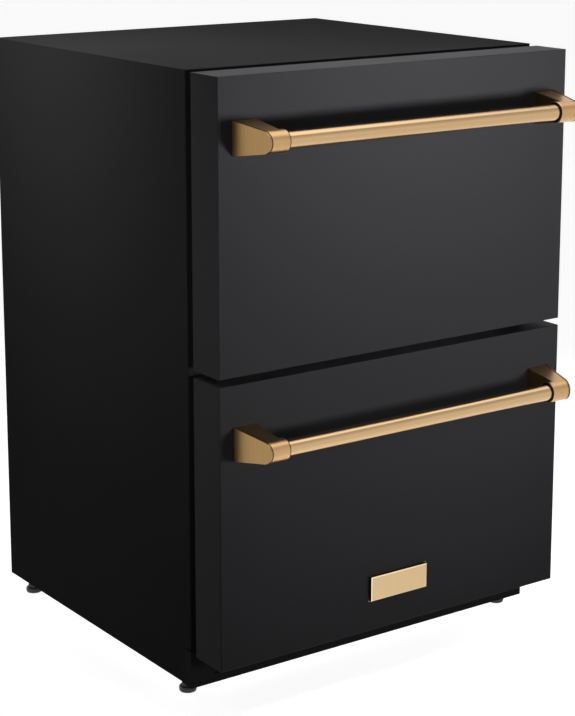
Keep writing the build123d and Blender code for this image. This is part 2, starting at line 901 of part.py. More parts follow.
def handle_cap(z):
    """The left end plate of a handle, held off the post by a narrow dark seam."""
    plate = split(post_blank(z, 0.0), bisect_by=slanted_plane(0.0), keep=Keep.TOP)
    plate = split(plate, bisect_by=slanted_plane(cap_thickness), keep=Keep.BOTTOM)
    outer_face = plate.faces().sort_by(Axis.X)[0]
    plate = chamfer(outer_face.edges(), cap_edge)
    seat = split(
        post_blank(z, cap_seat_inset), bisect_by=slanted_plane(cap_thickness), keep=Keep.TOP
    )
    seat = split(seat, bisect_by=slanted_plane(cap_thickness + cap_seam), keep=Keep.BOTTOM)
    return plate + seat


def handle_bar(z):
    """The round bar that runs between the two sockets."""
    return cylinder_x(bar_diameter / 2, -bar_end_x, bar_end_x, handle_y, z)


def badge_plate(bottom):
    """A bare cast plate on the lower front: a bevelled block on a thin flange."""
    z = bottom + badge_centre_rise
    flange = Pos(0, z) * Rectangle(badge_width, badge_height)
    face = offset(flange, amount=-badge_flange, kind=Kind.INTERSECTION)
    plate = along_y(face, front_face_y - badge_thickness, front_face_y)
    plate = chamfer(plate.faces().sort_by(Axis.Y)[0].edges(), badge_bevel)
    return plate + along_y(flange, front_face_y - badge_flange, front_face_y)


def bin_body(x, y, depth, rim_z, inset):
    """A tapered tub below the rim, drawn in by an inset."""
    corner = bin_corner - inset
    top = rect((-x + inset, x - inset), (y[0] + inset, y[1] - inset), corner)
    return extrude(Plane.XY.offset(rim_z) * top, amount=-depth, taper=bin_taper)


def drawer_bin(rim_z, deep, shallow):
    """A moulded bin: each section is its back wall's place and its depth below the rim."""
    outer = bin_body(bin_x, (bin_front_y, shallow[0]), shallow[1], rim_z, 0.0)
    inner = bin_body(bin_x, (bin_front_y, shallow[0]), shallow[1] - bin_floor, rim_z, bin_wall)
    if deep[1] > shallow[1]:
        outer += bin_body(bin_x, (bin_front_y, deep[0]), deep[1], rim_z, 0.0)
        inner += bin_body(bin_x, (bin_front_y, deep[0]), deep[1] - bin_floor, rim_z, bin_wall)
    rim = along_z(
        rect(
            (-rim_x, rim_x),
            (bin_front_y - rim_width / 2, shallow[0] + rim_width / 2),
            bin_corner + rim_width / 2,
        ),
        rim_z,
        rim_z + rim_thickness,
    )
    mouth = rect(
        (-bin_x + bin_wall, bin_x - bin_wall),
        (bin_front_y + bin_wall, shallow[0] - bin_wall),
        bin_corner - bin_wall,
    )
    return outer + rim - inner - along_z(mouth, rim_z, rim_z + rim_thickness)


def bin_frame(rim_z):
    """The welded frame that carries a bin: two angle rails, a rear bar and front tabs."""
    low = rim_z - slide_below_rim - frame_web_drop
    front = panel_back_y + plug_depth
    back = slide_back_y
    rail_points = [(frame_x, low), (frame_x, rim_z), (frame_x - frame_sheet - frame_ledge, rim_z)]
    section = folded_sheet(rail_points, frame_sheet, Side.LEFT)
    frame = block(
        (-frame_x, frame_x), (back - frame_sheet, back), (rim_z - frame_web_drop, rim_z)
    )
    for rail in both_sides(along_y(section, front, back)):
        frame = frame + rail
    for tab in both_sides(
        block((frame_x - frame_tab, frame_x), (front, front + frame_sheet), (low, rim_z))
    ):
        frame = frame + tab
    return frame


# Telescopic slides: u runs from the liner's wall into the bay, w up from the slide's middle


def mirrored_section(curves, corner=None):
    """A sheet's section from the upper half of its middle line."""
    half = trace(curves, line_width=slide_sheet)
    if corner is not None:
        half += Pos(corner[0], corner[1]) * Circle(slide_sheet / 2)
    return half + mirror(half, about=Plane.XZ)


def outer_member_section():
    """The fixed member: a web on the wall that curls over the outer balls."""
    curl = CenterArc((outer_ball_u, outer_ball_w), sheet_radius, lip_angle, 180.0 - lip_angle)
    web = Line((slide_sheet / 2, outer_ball_w), (slide_sheet / 2, 0))
    return mirrored_section([curl, web])


def middle_member_section():
    """The travelling member: an S-shaped raceway under the outer balls and over the inner ones."""
    under = CenterArc(
        (outer_ball_u, outer_ball_w),
        sheet_radius,
        middle_web_angle,
        360.0 - groove_angle - middle_web_angle,
    )
    over = CenterArc(
        (inner_ball_u, inner_ball_w), sheet_radius, groove_angle, 180.0 - 2 * groove_angle
    )
    corner = under @ 0
    web = Line((corner.X, corner.Y), (corner.X, 0))
    return mirrored_section([under, over, web], (corner.X, corner.Y))


def inner_member_section():
    """The drawer's member: a groove under the inner balls and a web on the bin frame."""
    under = CenterArc(
        (inner_ball_u, inner_ball_w),
        sheet_radius,
        inner_lip_angle,
        inner_web_angle - inner_lip_angle,
    )
    web_u = slide_width - slide_sheet / 2
    end = under @ 1
    rise = (web_u - end.X) * tan(radians(inner_web_angle - 270.0))
    corner = (web_u, end.Y + rise)
    flange = Line((end.X, end.Y), corner)
    web = Line(corner, (web_u, 0))
    return mirrored_section([under, flange, web], corner)


def outer_cage_section():
    """The retainer strip between the fixed and the travelling member."""
    web_u = (slide_sheet + middle_web_u - slide_sheet / 2) / 2
    return cage_section(outer_ball_u + outer_cage_hook, web_u, outer_ball_w)


def inner_cage_section():
    """The retainer strip between the travelling member and the drawer's member."""
    web_u = middle_web_u + (slide_sheet + ball_cage_sheet) / 2 + inner_cage_gap
    return cage_section(inner_ball_u - inner_cage_hook, web_u, inner_ball_w - inner_cage_drop)


def cage_section(flange_u, web_u, flange_w):
    """A thin channel: a web with a flange towards the balls at its top and bottom."""
    corner = (web_u, flange_w)
    half = trace(Polyline((flange_u, flange_w), corner, (web_u, 0)), line_width=ball_cage_sheet)
    half += Pos(*corner) * Rectangle(ball_cage_sheet, ball_cage_sheet)
    return half + mirror(half, about=Plane.XZ)


def slide_pair(section, rim_z, length):
    """The left and right copies of a slide's section, centred on the slide's length."""
    z = rim_z - slide_below_rim
    middle = (slide_front_y + slide_back_y) / 2
    left = along_y(
        Pos(-liner_x, z) * section, middle - length / 2, middle + length / 2
    )
    return both_sides(left)


def write_slides(prefix, rim_z):
    """All the members and ball cages of one drawer's two slides."""
    write(prefix + "_slide_outer_members", slide_pair(outer_member_section(), rim_z, slide_length))
    write(prefix + "_slide_middle_members", slide_pair(middle_member_section(), rim_z, slide_length))
    write(prefix + "_slide_inner_members", slide_pair(inner_member_section(), rim_z, slide_length))
    write(prefix + "_outer_ball_cages", slide_pair(outer_cage_section(), rim_z, ball_cage_length))
    write(prefix + "_inner_ball_cages", slide_pair(inner_cage_section(), rim_z, ball_cage_length))


def write_drawer(prefix, bottom, opening, rim_z, deep, shallow):
    """Every piece of one drawer."""
    handle_z = bottom + front_height - handle_drop
    write(prefix + "_front_skin", front_skin(bottom))
    write(prefix + "_front_foam", foam_core(bottom))
    write(prefix + "_front_liner", front_liner(bottom, opening))
    write(prefix + "_gasket", gasket(opening))
    write(prefix + "_handle_bar", handle_bar(handle_z))
    left_post, right_post = both_sides(handle_post(handle_z))
    write(prefix + "_handle_post_left", left_post)
    write(prefix + "_handle_post_right", right_post)
    write(prefix + "_handle_end_caps", both_sides(handle_cap(handle_z)))
    write(prefix + "_bin", drawer_bin(rim_z, deep, shallow))
    write(prefix + "_bin_frame", bin_frame(rim_z))
    write_slides(prefix, rim_z)


def write_cabinet():
    """The fixed shell, the machinery and the feet."""
    left_side, right_side = both_sides(side_panel())
    write("side_panel_left", left_side)
    write("side_panel_right", right_side)
    write("top_panel", top_panel())
    write("back_panel", back_panel())
    write("case_bottom", case_bottom())
    write("base_pan", base_pan())
    write("kick_grille", kick_grille())
    write("machine_cover", machine_cover())
    write("power_inlet", power_inlet())
    write("insulation_foam", insulation_foam())
    write("inner_liner", inner_liner())
    write("mullion", mullion())
    write("compressor", compressor())
    write("drip_tray", drip_tray())
    write("condenser", condenser())
    write("condenser_fan_motor", condenser_fan_motor())
    write("condenser_fan_blades", fan_wheel(condenser_fan_place()))
    write("control_box", control_box())
    write("evaporator", evaporator())
    write("evaporator_cover", evaporator_cover())
    write("evaporator_fan_motor", evaporator_fan_place() * fan_motor_body())
    write("evaporator_fan_blades", fan_wheel(evaporator_fan_place()))
    write("control_panel", control_panel())
    write("upper_light_bar", light_bar(ceiling_z, cabinet_front_y + upper_light_inset))
    write("lower_light_bar", light_bar(mullion_bottom_z, cabinet_front_y + lower_light_inset))
    names = ["front_left", "front_right", "back_left", "back_right"]
    for name, (x, y) in zip(names, foot_places()):
        write("foot_" + name, foot(x, y))


write_cabinet()

upper_depth = upper_rim_z - mullion_top_z - bin_floor_gap
write_drawer(
    "upper",
    upper_front_z,
    (mullion_top_z, ceiling_z),
    upper_rim_z,
    (bin_back_y, upper_depth),
    (bin_back_y, upper_depth),
)

lower_depth = lower_rim_z - bay_floor_z - bin_floor_gap
lower_shallow_depth = lower_rim_z - (step_z + liner_wall) - bin_floor_gap
write_drawer(
    "lower",
    lower_front_z,
    (bay_floor_z, mullion_bottom_z),
    lower_rim_z,
    (deep_back_y, lower_depth),
    (bin_back_y, lower_shallow_depth),
)
write("badge_plate", badge_plate(lower_front_z))
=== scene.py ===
"""Dresses a freezer with two drawers: its finishes, small fittings, stage and camera."""

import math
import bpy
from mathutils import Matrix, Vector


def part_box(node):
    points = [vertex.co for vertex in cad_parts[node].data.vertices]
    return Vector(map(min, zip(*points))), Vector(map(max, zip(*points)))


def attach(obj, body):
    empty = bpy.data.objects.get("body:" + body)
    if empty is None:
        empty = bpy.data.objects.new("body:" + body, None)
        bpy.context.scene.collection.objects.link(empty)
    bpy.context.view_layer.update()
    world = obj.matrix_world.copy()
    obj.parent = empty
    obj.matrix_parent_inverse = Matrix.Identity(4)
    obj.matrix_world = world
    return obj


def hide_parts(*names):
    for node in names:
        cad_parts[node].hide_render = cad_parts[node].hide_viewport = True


bl_info = {
    "name": "Freezer With Two Drawers",
    "version": (1, 0, 0),
    "blender": (4, 5, 0),
    "location": "3D View > Sidebar > Freezer",
    "description": "Gives the freezer its paint, bronze, seals, ball bearings and studio",
    "category": "Object",
}

import bmesh
import bpy
from bpy.props import FloatProperty, FloatVectorProperty, IntProperty, PointerProperty
from mathutils import Matrix, Vector

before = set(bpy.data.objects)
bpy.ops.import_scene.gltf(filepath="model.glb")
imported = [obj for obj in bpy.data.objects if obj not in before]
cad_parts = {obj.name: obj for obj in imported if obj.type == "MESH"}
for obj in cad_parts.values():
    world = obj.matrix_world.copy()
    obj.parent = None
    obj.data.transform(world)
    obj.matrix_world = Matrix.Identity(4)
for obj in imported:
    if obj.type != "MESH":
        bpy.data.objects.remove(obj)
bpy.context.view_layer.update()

DRAWERS = ("upper", "lower")
FEET = ("foot_front_left", "foot_front_right", "foot_back_left", "foot_back_right")
MM = 0.001

# The sizes from here down to the softboxes are in millimetres.
# Centres of the ball tracks of a slide, from the wall and from the slide's middle
OUTER_TRACK = (3.63, 18.87)
INNER_TRACK = (8.59, 15.39)
# How far the outer balls of a track are from the ends of their cage
CAGE_END = 8.0
# The middle line of the cabinet's rear flanges, from the outer faces of the side panels and the lid
FLANGE_MIDDLE = 7.5
LID_FLANGE_MIDDLE = 8.5
# How far the handles' set screws are from the ends of the bar, and from its middle line
SET_SCREW_INSET = 9.0
SET_SCREW_DROP = 15.0
# The seam between a post and its end plate: its two sides, from the plate's slanted face
SEAM = (2.05, 3.05)
# How far the black filler that paints shade into the seam stands out of it, and how deep it goes in
SEAM_SHADE_PROUD = 0.4
SEAM_SHADE_REACH = 2.38
BIN_FLOOR = 3.0
# The feet: the radius of the stud, and how high the top of the pad's hexagon is
STUD_RADIUS = 4.95
PAD_TOP = 14.0
# How high above the floor the compressor's two halves are welded together
WELD_RISE = 112.0

# The softboxes: name, place, point aimed at, size in metres, beam in degrees and its power setting
SOFTBOXES = (
    ("key_softbox", (0.55, -1.75, 0.5), (0.1, -0.34, 1.15), 0.35, 90, "key_power"),
    ("brow_softbox", (0.55, -1.75, 0.5), (-0.06, -0.27, 1.02), 0.25, 32, "brow_power"),
    ("side_softbox", (-1.0, 0.5, 1.5), (-0.35, 0.25, 0.95), 0.4, 45, "side_power"),
    ("top_softbox", (-0.9, 0.0, 1.7), (-0.3, 0.1, 0.9), 0.4, 45, "top_power"),
    ("drawer_softbox", (0.0, -0.42, 2.2), (0.0, -0.42, 0.8), 0.5, 34, "drawer_power"),
    ("flank_softbox", (-1.25, -0.95, 0.75), (-0.25, -0.54, 0.6), 0.4, 36, "flank_power"),
    ("right_softbox", (2.0, 0.1, 0.8), (0.3, 0.0, 0.45), 1.0, 90, "fill_power"),
    ("back_softbox", (0.3, 2.2, 0.8), (0.0, 0.3, 0.45), 1.0, 90, "fill_power"),
)


def linear(code):
    """Turns an sRGB hex colour into the linear colour that Blender works in."""
    parts = [int(code[i : i + 2], 16) / 255 for i in (1, 3, 5)]
    return tuple(c / 12.92 if c <= 0.04045 else ((c + 0.055) / 1.055) ** 2.4 for c in parts)


def rgba(colour):
    """Adds full opacity to a linear colour."""
    return (*tuple(colour)[:3], 1.0)


def scaled(colour, factor):
    """Makes a linear colour lighter or darker."""
    return rgba([c * factor for c in tuple(colour)[:3]])


def per_mm(size):
    """The texture scale at which one feature is this many millimetres wide."""
    return 1000.0 / size


# Materials


def node(tree, kind, inputs=None, **settings):
    """Adds one node, with its settings, its input values and its links."""
    made = tree.nodes.new(kind)
    for name, value in settings.items():
        setattr(made, name, value)
    for name, value in (inputs or {}).items():
        if isinstance(value, bpy.types.NodeSocket):
            tree.links.new(value, made.inputs[name])
        else:
            made.inputs[name].default_value = value
    return made


def blank_material(name, **shader_values):
    """Starts a material and sets the constants of its shader."""
    material = bpy.data.materials.new(name)
    material.use_nodes = True
    tree = material.node_tree
    shader = tree.nodes["Principled BSDF"]
    for socket, value in shader_values.items():
        shader.inputs[socket.replace("_", " ")].default_value = value
    return material, tree, shader


def place(tree, scale=(1.0, 1.0, 1.0)):
    """Coordinates in metres in the freezer's own frame, stretched by a scale."""
    where = node(tree, "ShaderNodeTexCoord")
    stretched = node(
        tree, "ShaderNodeMapping", {"Vector": where.outputs["Object"], "Scale": scale}
    )
    return stretched.outputs["Vector"]


def noise(tree, size_mm, detail=2.0, stretch=(1.0, 1.0, 1.0)):
    """A cloudy pattern whose clouds are about this many millimetres wide."""
    inputs = {"Vector": place(tree, stretch), "Scale": per_mm(size_mm), "Detail": detail}
    return node(tree, "ShaderNodeTexNoise", inputs).outputs["Fac"]


def streaks(tree, sizes_mm, detail, roughness=0.5):
    """A cloudy pattern with a size of its own along each axis, so that it shows a grain."""
    grain = place(tree, tuple(per_mm(size) for size in sizes_mm))
    inputs = {"Vector": grain, "Scale": 1.0, "Detail": detail, "Roughness": roughness}
    return node(tree, "ShaderNodeTexNoise", inputs).outputs["Fac"]


def two_tone(tree, shader, factor, low, high):
    """Colours the surface between two tones by a pattern."""
    mix = node(
        tree, "ShaderNodeMix", {"Factor": factor, "A": rgba(low), "B": rgba(high)}, data_type="RGBA"
    )
    tree.links.new(mix.outputs["Result"], shader.inputs["Base Color"])


def rough_range(tree, shader, factor, low, high):
    """Lets the roughness wander between two values by a pattern."""
    span = node(tree, "ShaderNodeMapRange", {"Value": factor, "To Min": low, "To Max": high})
    tree.links.new(span.outputs["Result"], shader.inputs["Roughness"])


def relief(tree, shader, height, depth_mm):
    """Raises the surface by a pattern, to a depth in millimetres."""
    inputs = {"Height": height, "Distance": depth_mm * MM}
    bump = node(tree, "ShaderNodeBump", inputs)
    tree.links.new(bump.outputs["Normal"], shader.inputs["Normal"])


def powder_coat(name, colour, roughness, specular, grain_mm=1.6):
    """Powder-coated sheet steel: baked on, so a fine orange peel softens each reflection."""
    material, tree, shader = blank_material(name, Specular_IOR_Level=specular)
    peel = noise(tree, grain_mm)
    # Handling leaves broad, faint differences in gloss, about a hand wide.
    hands = noise(tree, 90.0)
    two_tone(tree, shader, peel, scaled(colour, 0.92), scaled(colour, 1.08))
    rough_range(tree, shader, hands, roughness - 0.04, roughness + 0.05)
    relief(tree, shader, peel, 0.02)
    return material


def brushed_bronze(name, colour, roughness, grain_mm=(60.0, 0.7, 0.7), streak=0.14, depth=0.04):
    """Bronze-coated metal, brushed along the grain: streaks stretch each highlight."""
    material, tree, shader = blank_material(name, Metallic=1.0)
    lines = streaks(tree, grain_mm, 3.0, 0.6)
    two_tone(tree, shader, lines, scaled(colour, 1 - streak), scaled(colour, 1 + streak))
    rough_range(tree, shader, lines, roughness - 0.06, roughness + 0.08)
    relief(tree, shader, lines, depth)
    return material


def galvanised_steel(name):
    """Hot-dip galvanised sheet: zinc crystals some 12 mm wide catch the light differently."""
    material, tree, shader = blank_material(name, Metallic=1.0)
    spangle = node(tree, "ShaderNodeTexVoronoi", {"Vector": place(tree), "Scale": per_mm(12.0)})
    tone = node(tree, "ShaderNodeSeparateColor", {"Color": spangle.outputs["Color"]})
    two_tone(tree, shader, tone.outputs["Red"], linear("#8d9092"), linear("#b1b4b5"))
    rough_range(tree, shader, tone.outputs["Green"], 0.36, 0.52)
    relief(tree, shader, tone.outputs["Blue"], 0.01)
    return material


def zinc_plated_steel(name, colour="#c3c7cb"):
    """Bright zinc on rolled strip: clean, with rolling lines along the strip."""
    material, tree, shader = blank_material(name, Metallic=1.0)
    # Rolling lines are 0.1 mm wide; they are drawn at 0.8 mm so that they show.
    lines = streaks(tree, (0.8, 80.0, 0.8), 2.0)
    two_tone(tree, shader, lines, scaled(linear(colour), 0.86), linear(colour))
    rough_range(tree, shader, lines, 0.24, 0.36)
    relief(tree, shader, lines, 0.008)
    return material


def moulded_plastic(name, colour, roughness=0.4, grain_mm=0.9, **shader_values):
    """Injection-moulded or vacuum-formed plastic with a lightly sparked mould grain."""
    material, tree, shader = blank_material(name, **shader_values)
    grain = noise(tree, grain_mm, detail=3.0)
    flow = noise(tree, 70.0)
    two_tone(tree, shader, flow, scaled(colour, 0.96), scaled(colour, 1.03))
    rough_range(tree, shader, grain, roughness - 0.05, roughness + 0.06)
    relief(tree, shader, grain, 0.015)
    return material


def soft_rubber(name, colour):
    """Extruded sealing rubber: matt, with a faint bloom of wax on its face."""
    material, tree, shader = blank_material(name, Specular_IOR_Level=0.25)
    bloom = noise(tree, 14.0, detail=4.0)
    two_tone(tree, shader, bloom, scaled(colour, 0.8), scaled(colour, 1.3))
    rough_range(tree, shader, bloom, 0.6, 0.78)
    relief(tree, shader, bloom, 0.02)
    return material


def rigid_foam(name):
    """Cut polyurethane foam: cream, with closed cells under a millimetre wide."""
    material, tree, shader = blank_material(name, Specular_IOR_Level=0.2)
    cells = node(tree, "ShaderNodeTexVoronoi", {"Vector": place(tree), "Scale": per_mm(1.5)})
    depth = cells.outputs["Distance"]
    two_tone(tree, shader, depth, linear("#c9b37c"), linear("#e6d7a6"))
    rough_range(tree, shader, depth, 0.85, 0.95)
    relief(tree, shader, depth, 0.3)
    return material


def stove_enamel(name, colour):
    """Dipped black enamel on a pressed steel shell: glossy, with slow runs."""
    material, tree, shader = blank_material(name, Coat_Weight=0.4, Coat_Roughness=0.12)
    runs = noise(tree, 25.0, stretch=(1.0, 1.0, 0.3))
    two_tone(tree, shader, runs, scaled(colour, 0.8), scaled(colour, 1.2))
    rough_range(tree, shader, runs, 0.28, 0.4)
    relief(tree, shader, runs, 0.05)
    return material


def drawn_metal(name, colour, roughness):
    """Drawn aluminium or copper: a soft sheen broken by faint oxide clouds."""
    material, tree, shader = blank_material(name, Metallic=1.0)
    oxide = noise(tree, 9.0, detail=4.0)
    two_tone(tree, shader, oxide, scaled(colour, 0.78), scaled(colour, 1.05))
    rough_range(tree, shader, oxide, roughness - 0.05, roughness + 0.12)
    relief(tree, shader, oxide, 0.01)
    return material


def finish(name):
    """Returns a finish by name, made once and then shared."""
    if name in bpy.data.materials:
        return bpy.data.materials[name]
    look = bpy.context.scene.freezer_look
    makers = {
        "case_powder_coat": lambda: powder_coat(name, look.case_colour, 0.75, 0.012),
        "front_satin_paint": lambda: powder_coat(name, look.front_colour, 0.42, 0.015, 1.2),
        "grille_powder_coat": lambda: powder_coat(name, look.case_colour, 0.7, 0.015),
        "brushed_bronze_tube": lambda: brushed_bronze(name, look.bronze_colour, 0.17),
        "brushed_bronze_casting": lambda: brushed_bronze(
            name, look.casting_colour, 0.31, (1.2, 1.2, 1.2), 0.12, 0.03
        ),
        "brushed_bronze_cap": lambda: brushed_bronze(
            name, look.cap_colour, 0.35, (0.9, 0.9, 50.0), 0.26, 0.06
        ),
        "satin_bronze_plate": lambda: brushed_bronze(
            name, look.plate_colour, 0.24, (1.1, 1.1, 1.1), 0.16, 0.02
        ),
        # Painted shade: a near-black coat for the band that darkens the badge plate's recessed
        # sides.
        "black_recess_lacquer": lambda: powder_coat(name, linear("#100d0a"), 0.6, 0.05, 0.8),
        # Painted highlight: pale bronze for the band round the badge plate's bevel.
        "burnished_bronze_edge": lambda: brushed_bronze(
            name, linear("#efdcb6"), 0.16, (1.1, 1.1, 1.1), 0.05, 0.01
        ),
        "galvanised_steel": lambda: galvanised_steel(name),
        "zinc_plated_steel": lambda: zinc_plated_steel(name),
        "chrome_steel_balls": lambda: drawn_metal(name, linear("#d9dce0"), 0.12),
        "grey_frame_powder_coat": lambda: powder_coat(name, linear("#9a9da0"), 0.5, 0.4),
        "white_liner_polystyrene": lambda: moulded_plastic(name, linear("#e6e7e7"), 0.36),
        "white_bin_abs": lambda: moulded_plastic(name, linear("#eceeef"), 0.3, 1.4),
        "frosted_diffuser": lambda: moulded_plastic(name, linear("#f1f3f4"), 0.55, 0.6),
        "grey_moulded_plastic": lambda: moulded_plastic(name, linear("#5b5e61"), 0.5),
        "black_moulded_plastic": lambda: moulded_plastic(name, linear("#1c1c1d"), 0.48),
        "black_control_glass": lambda: moulded_plastic(
            name, linear("#0b0c0e"), 0.1, 30.0, Coat_Weight=0.6, Coat_Roughness=0.04
        ),
        "printed_key_white": lambda: moulded_plastic(name, linear("#c9ccce"), 0.6),
        "seal_rubber": lambda: soft_rubber(name, linear("#161616")),
        # Painted shade: near-black nylon for the rings at the ferrules' mouths.
        "bush_nylon": lambda: moulded_plastic(
            name, linear("#0b0a0a"), 0.55, Specular_IOR_Level=0.2
        ),
        "mount_rubber": lambda: soft_rubber(name, linear("#222122")),
        "insulation_foam": lambda: rigid_foam(name),
        "compressor_enamel": lambda: stove_enamel(name, linear("#151516")),
        "condenser_enamel": lambda: stove_enamel(name, linear("#1b1b1c")),
        "fin_aluminium": lambda: drawn_metal(name, linear("#c8cacc"), 0.34),
        "copper_tube": lambda: drawn_metal(name, linear("#c17f59"), 0.3),
    }
    return makers[name]()


def paint(material_name, *nodes):
    """Gives CAD nodes a finish."""
    for name in nodes:
        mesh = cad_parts[name].data
        mesh.materials.clear()
        mesh.materials.append(finish(material_name))


# Building pieces


def put(name, data):
    """Makes an object of a mesh, a curve, a lamp or a camera, and puts it in the scene."""
    made = bpy.data.objects.new(name, data)
    bpy.context.scene.collection.objects.link(made)
    return made


def piece(name, mesh, material_name, body):
    """Makes one shown piece from a finished bmesh and lets it ride on a body."""
    data = bpy.data.meshes.new(name)
    bmesh.ops.recalc_face_normals(mesh, faces=mesh.faces)
    mesh.to_mesh(data)
    mesh.free()
    data.materials.append(finish(material_name))
    made = put(name, data)
    data.shade_smooth()
    data.set_sharp_from_angle(angle=math.radians(35))
    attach(made, body)
    return made


def bridge(mesh, rings, closed=False):
    """Joins rings of vertices, each to the next, and caps the ends unless they meet."""
    if closed:
        rings = rings + rings[:1]
    for ring, following in zip(rings, rings[1:]):
        count = len(ring)
        for i in range(count):
            j = (i + 1) % count
            mesh.faces.new((ring[i], ring[j], following[j], following[i]))
    if not closed:
        mesh.faces.new(rings[0])
        mesh.faces.new(rings[-1])


def lathe(mesh, profile, centre, axis="Z", segments=28, hollow=False):
    """Turns a profile of (radius, height) in mm round an axis through a centre in metres."""
    turn = {
        "X": Matrix.Rotation(math.radians(90), 3, "Y"),
        "Y": Matrix.Rotation(math.radians(90), 3, "X"),
        "Z": Matrix.Identity(3),
    }[axis]
    rings = []
    for radius, height in profile:
        ring = []
        for i in range(segments):
            a = 2 * math.pi * i / segments
            local = Vector((radius * math.cos(a), radius * math.sin(a), height)) * MM
            ring.append(mesh.verts.new(Vector(centre) + turn @ local))
        rings.append(ring)
    bridge(mesh, rings, closed=hollow)


def rectangle(low, high, y, inset_mm):
    """The outline of a box seen from the front, at a depth, moved in by an inset."""
    left, right = low.x + inset_mm * MM, high.x - inset_mm * MM
    bottom, top = low.z + inset_mm * MM, high.z - inset_mm * MM
    return [(left, y, bottom), (right, y, bottom), (right, y, top), (left, y, top)]


def loop_strip(mesh, loops):
    """Joins closed loops of points, each to the next, and the last to the first."""
    bridge(mesh, [[mesh.verts.new(point) for point in loop] for loop in loops], closed=True)


def rounded_bar(mesh, low, high, bevel_mm):
    """Adds a block between two corners in metres, with its edges rounded."""
    size = Vector(high) - Vector(low)
    middle = (Vector(high) + Vector(low)) / 2
    made = bmesh.ops.create_cube(
        mesh, size=1.0, matrix=Matrix.Translation(middle) @ Matrix.Diagonal((*size, 1.0))
    )
    edges = list({e for v in made["verts"] for e in v.link_edges})
    bmesh.ops.bevel(
        mesh, geom=edges, offset=bevel_mm * MM, segments=2, profile=0.5, affect="EDGES"
    )


def pan_head_screw(mesh, centre, axis, direction, head_mm):
    """Adds a domed screw head with a socket, seated at a point."""
    r = head_mm / 2
    dome = [(r, 0), (r, 0.22 * r), (0.82 * r, 0.5 * r), (0.42 * r, 0.68 * r), (0.3 * r, 0.68 * r)]
    dome += [(0.12 * r, 0.25 * r)]
    lathe(mesh, [(a, h * direction) for a, h in dome], centre, axis, 20)


def tube_piece(name, points, diameter_mm, material_name, body):
    """Makes a rigid bent pipe along points in metres."""
    curve = bpy.data.curves.new(name, "CURVE")
    curve.dimensions = "3D"
    curve.bevel_depth = diameter_mm / 2 * MM
    curve.bevel_resolution = 4
    curve.resolution_u = 8
    spline = curve.splines.new("NURBS")
    spline.points.add(len(points) - 1)
    for target, point in zip(spline.points, points):
        target.co = (*point, 1.0)
    spline.order_u = 3
    spline.use_endpoint_u = True
    curve.use_fill_caps = True
    curve.materials.append(finish(material_name))
    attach(put(name, curve), body)


# What a user can change

COLOUR = {"subtype": "COLOR", "size": 3, "min": 0.0, "max": 1.0}
LENGTH = {"subtype": "DISTANCE", "unit": "LENGTH"}


class FreezerLook(bpy.types.PropertyGroup):
    """The colours of the coatings."""

    case_colour: FloatVectorProperty(
        name="Case Colour",
        description="Powder coat of the cabinet",
        default=linear("#262627"),
        **COLOUR,
    )
    front_colour: FloatVectorProperty(
        name="Front Colour",
        description="Satin paint of the drawer fronts",
        default=linear("#2d2d2f"),
        **COLOUR,
    )
    bronze_colour: FloatVectorProperty(
        name="Bronze Colour",
        description="Brushed coating of the handles",
        default=linear("#cdab80"),
        **COLOUR,
    )
    casting_colour: FloatVectorProperty(
        name="Casting Colour",
        description="Fine-blasted coating of the handles' cast posts",
        default=linear("#cba474"),
        **COLOUR,
    )
    plate_colour: FloatVectorProperty(
        name="Plate Colour",
        description="Satin coating of the badge plate",
        default=linear("#c6ab82"),
        **COLOUR,
    )
    cap_colour: FloatVectorProperty(
        name="Cap Colour",
        description="Brushed coating of the handles' end caps",
        default=linear("#a88759"),
        **COLOUR,
    )


class FreezerFittings(bpy.types.PropertyGroup):
    """The sizes of the small fittings."""

    ball_diameter: FloatProperty(
        name="Ball Diameter",
        description="Diameter of a ball, a little small so that it clears the facets of its track",
        default=4.6 * MM,
        **LENGTH,
    )
    balls_per_track: IntProperty(
        name="Balls Per Track",
        description="Number of balls along each edge of a cage",
        default=12,
        min=2,
        max=30,
    )
    thread_pitch: FloatProperty(
        name="Thread Pitch",
        description="Pitch of the levelling feet's studs",
        default=1.5 * MM,
        **LENGTH,
    )
    cap_slope: FloatProperty(
        name="Cap Slope",
        description="How far an end plate's nose lies further in than its foot",
        default=14.6 * MM,
        **LENGTH,
    )
    plate_edge: FloatProperty(
        name="Plate Edge",
        description="How far an end plate's bevel is from its sharp corner at the foot",
        default=-0.2 * MM,
        **LENGTH,
    )
    screw_head: FloatProperty(
        name="Screw Head",
        description="Diameter of the sheet-metal screws' heads",
        default=7.5 * MM,
        **LENGTH,
    )


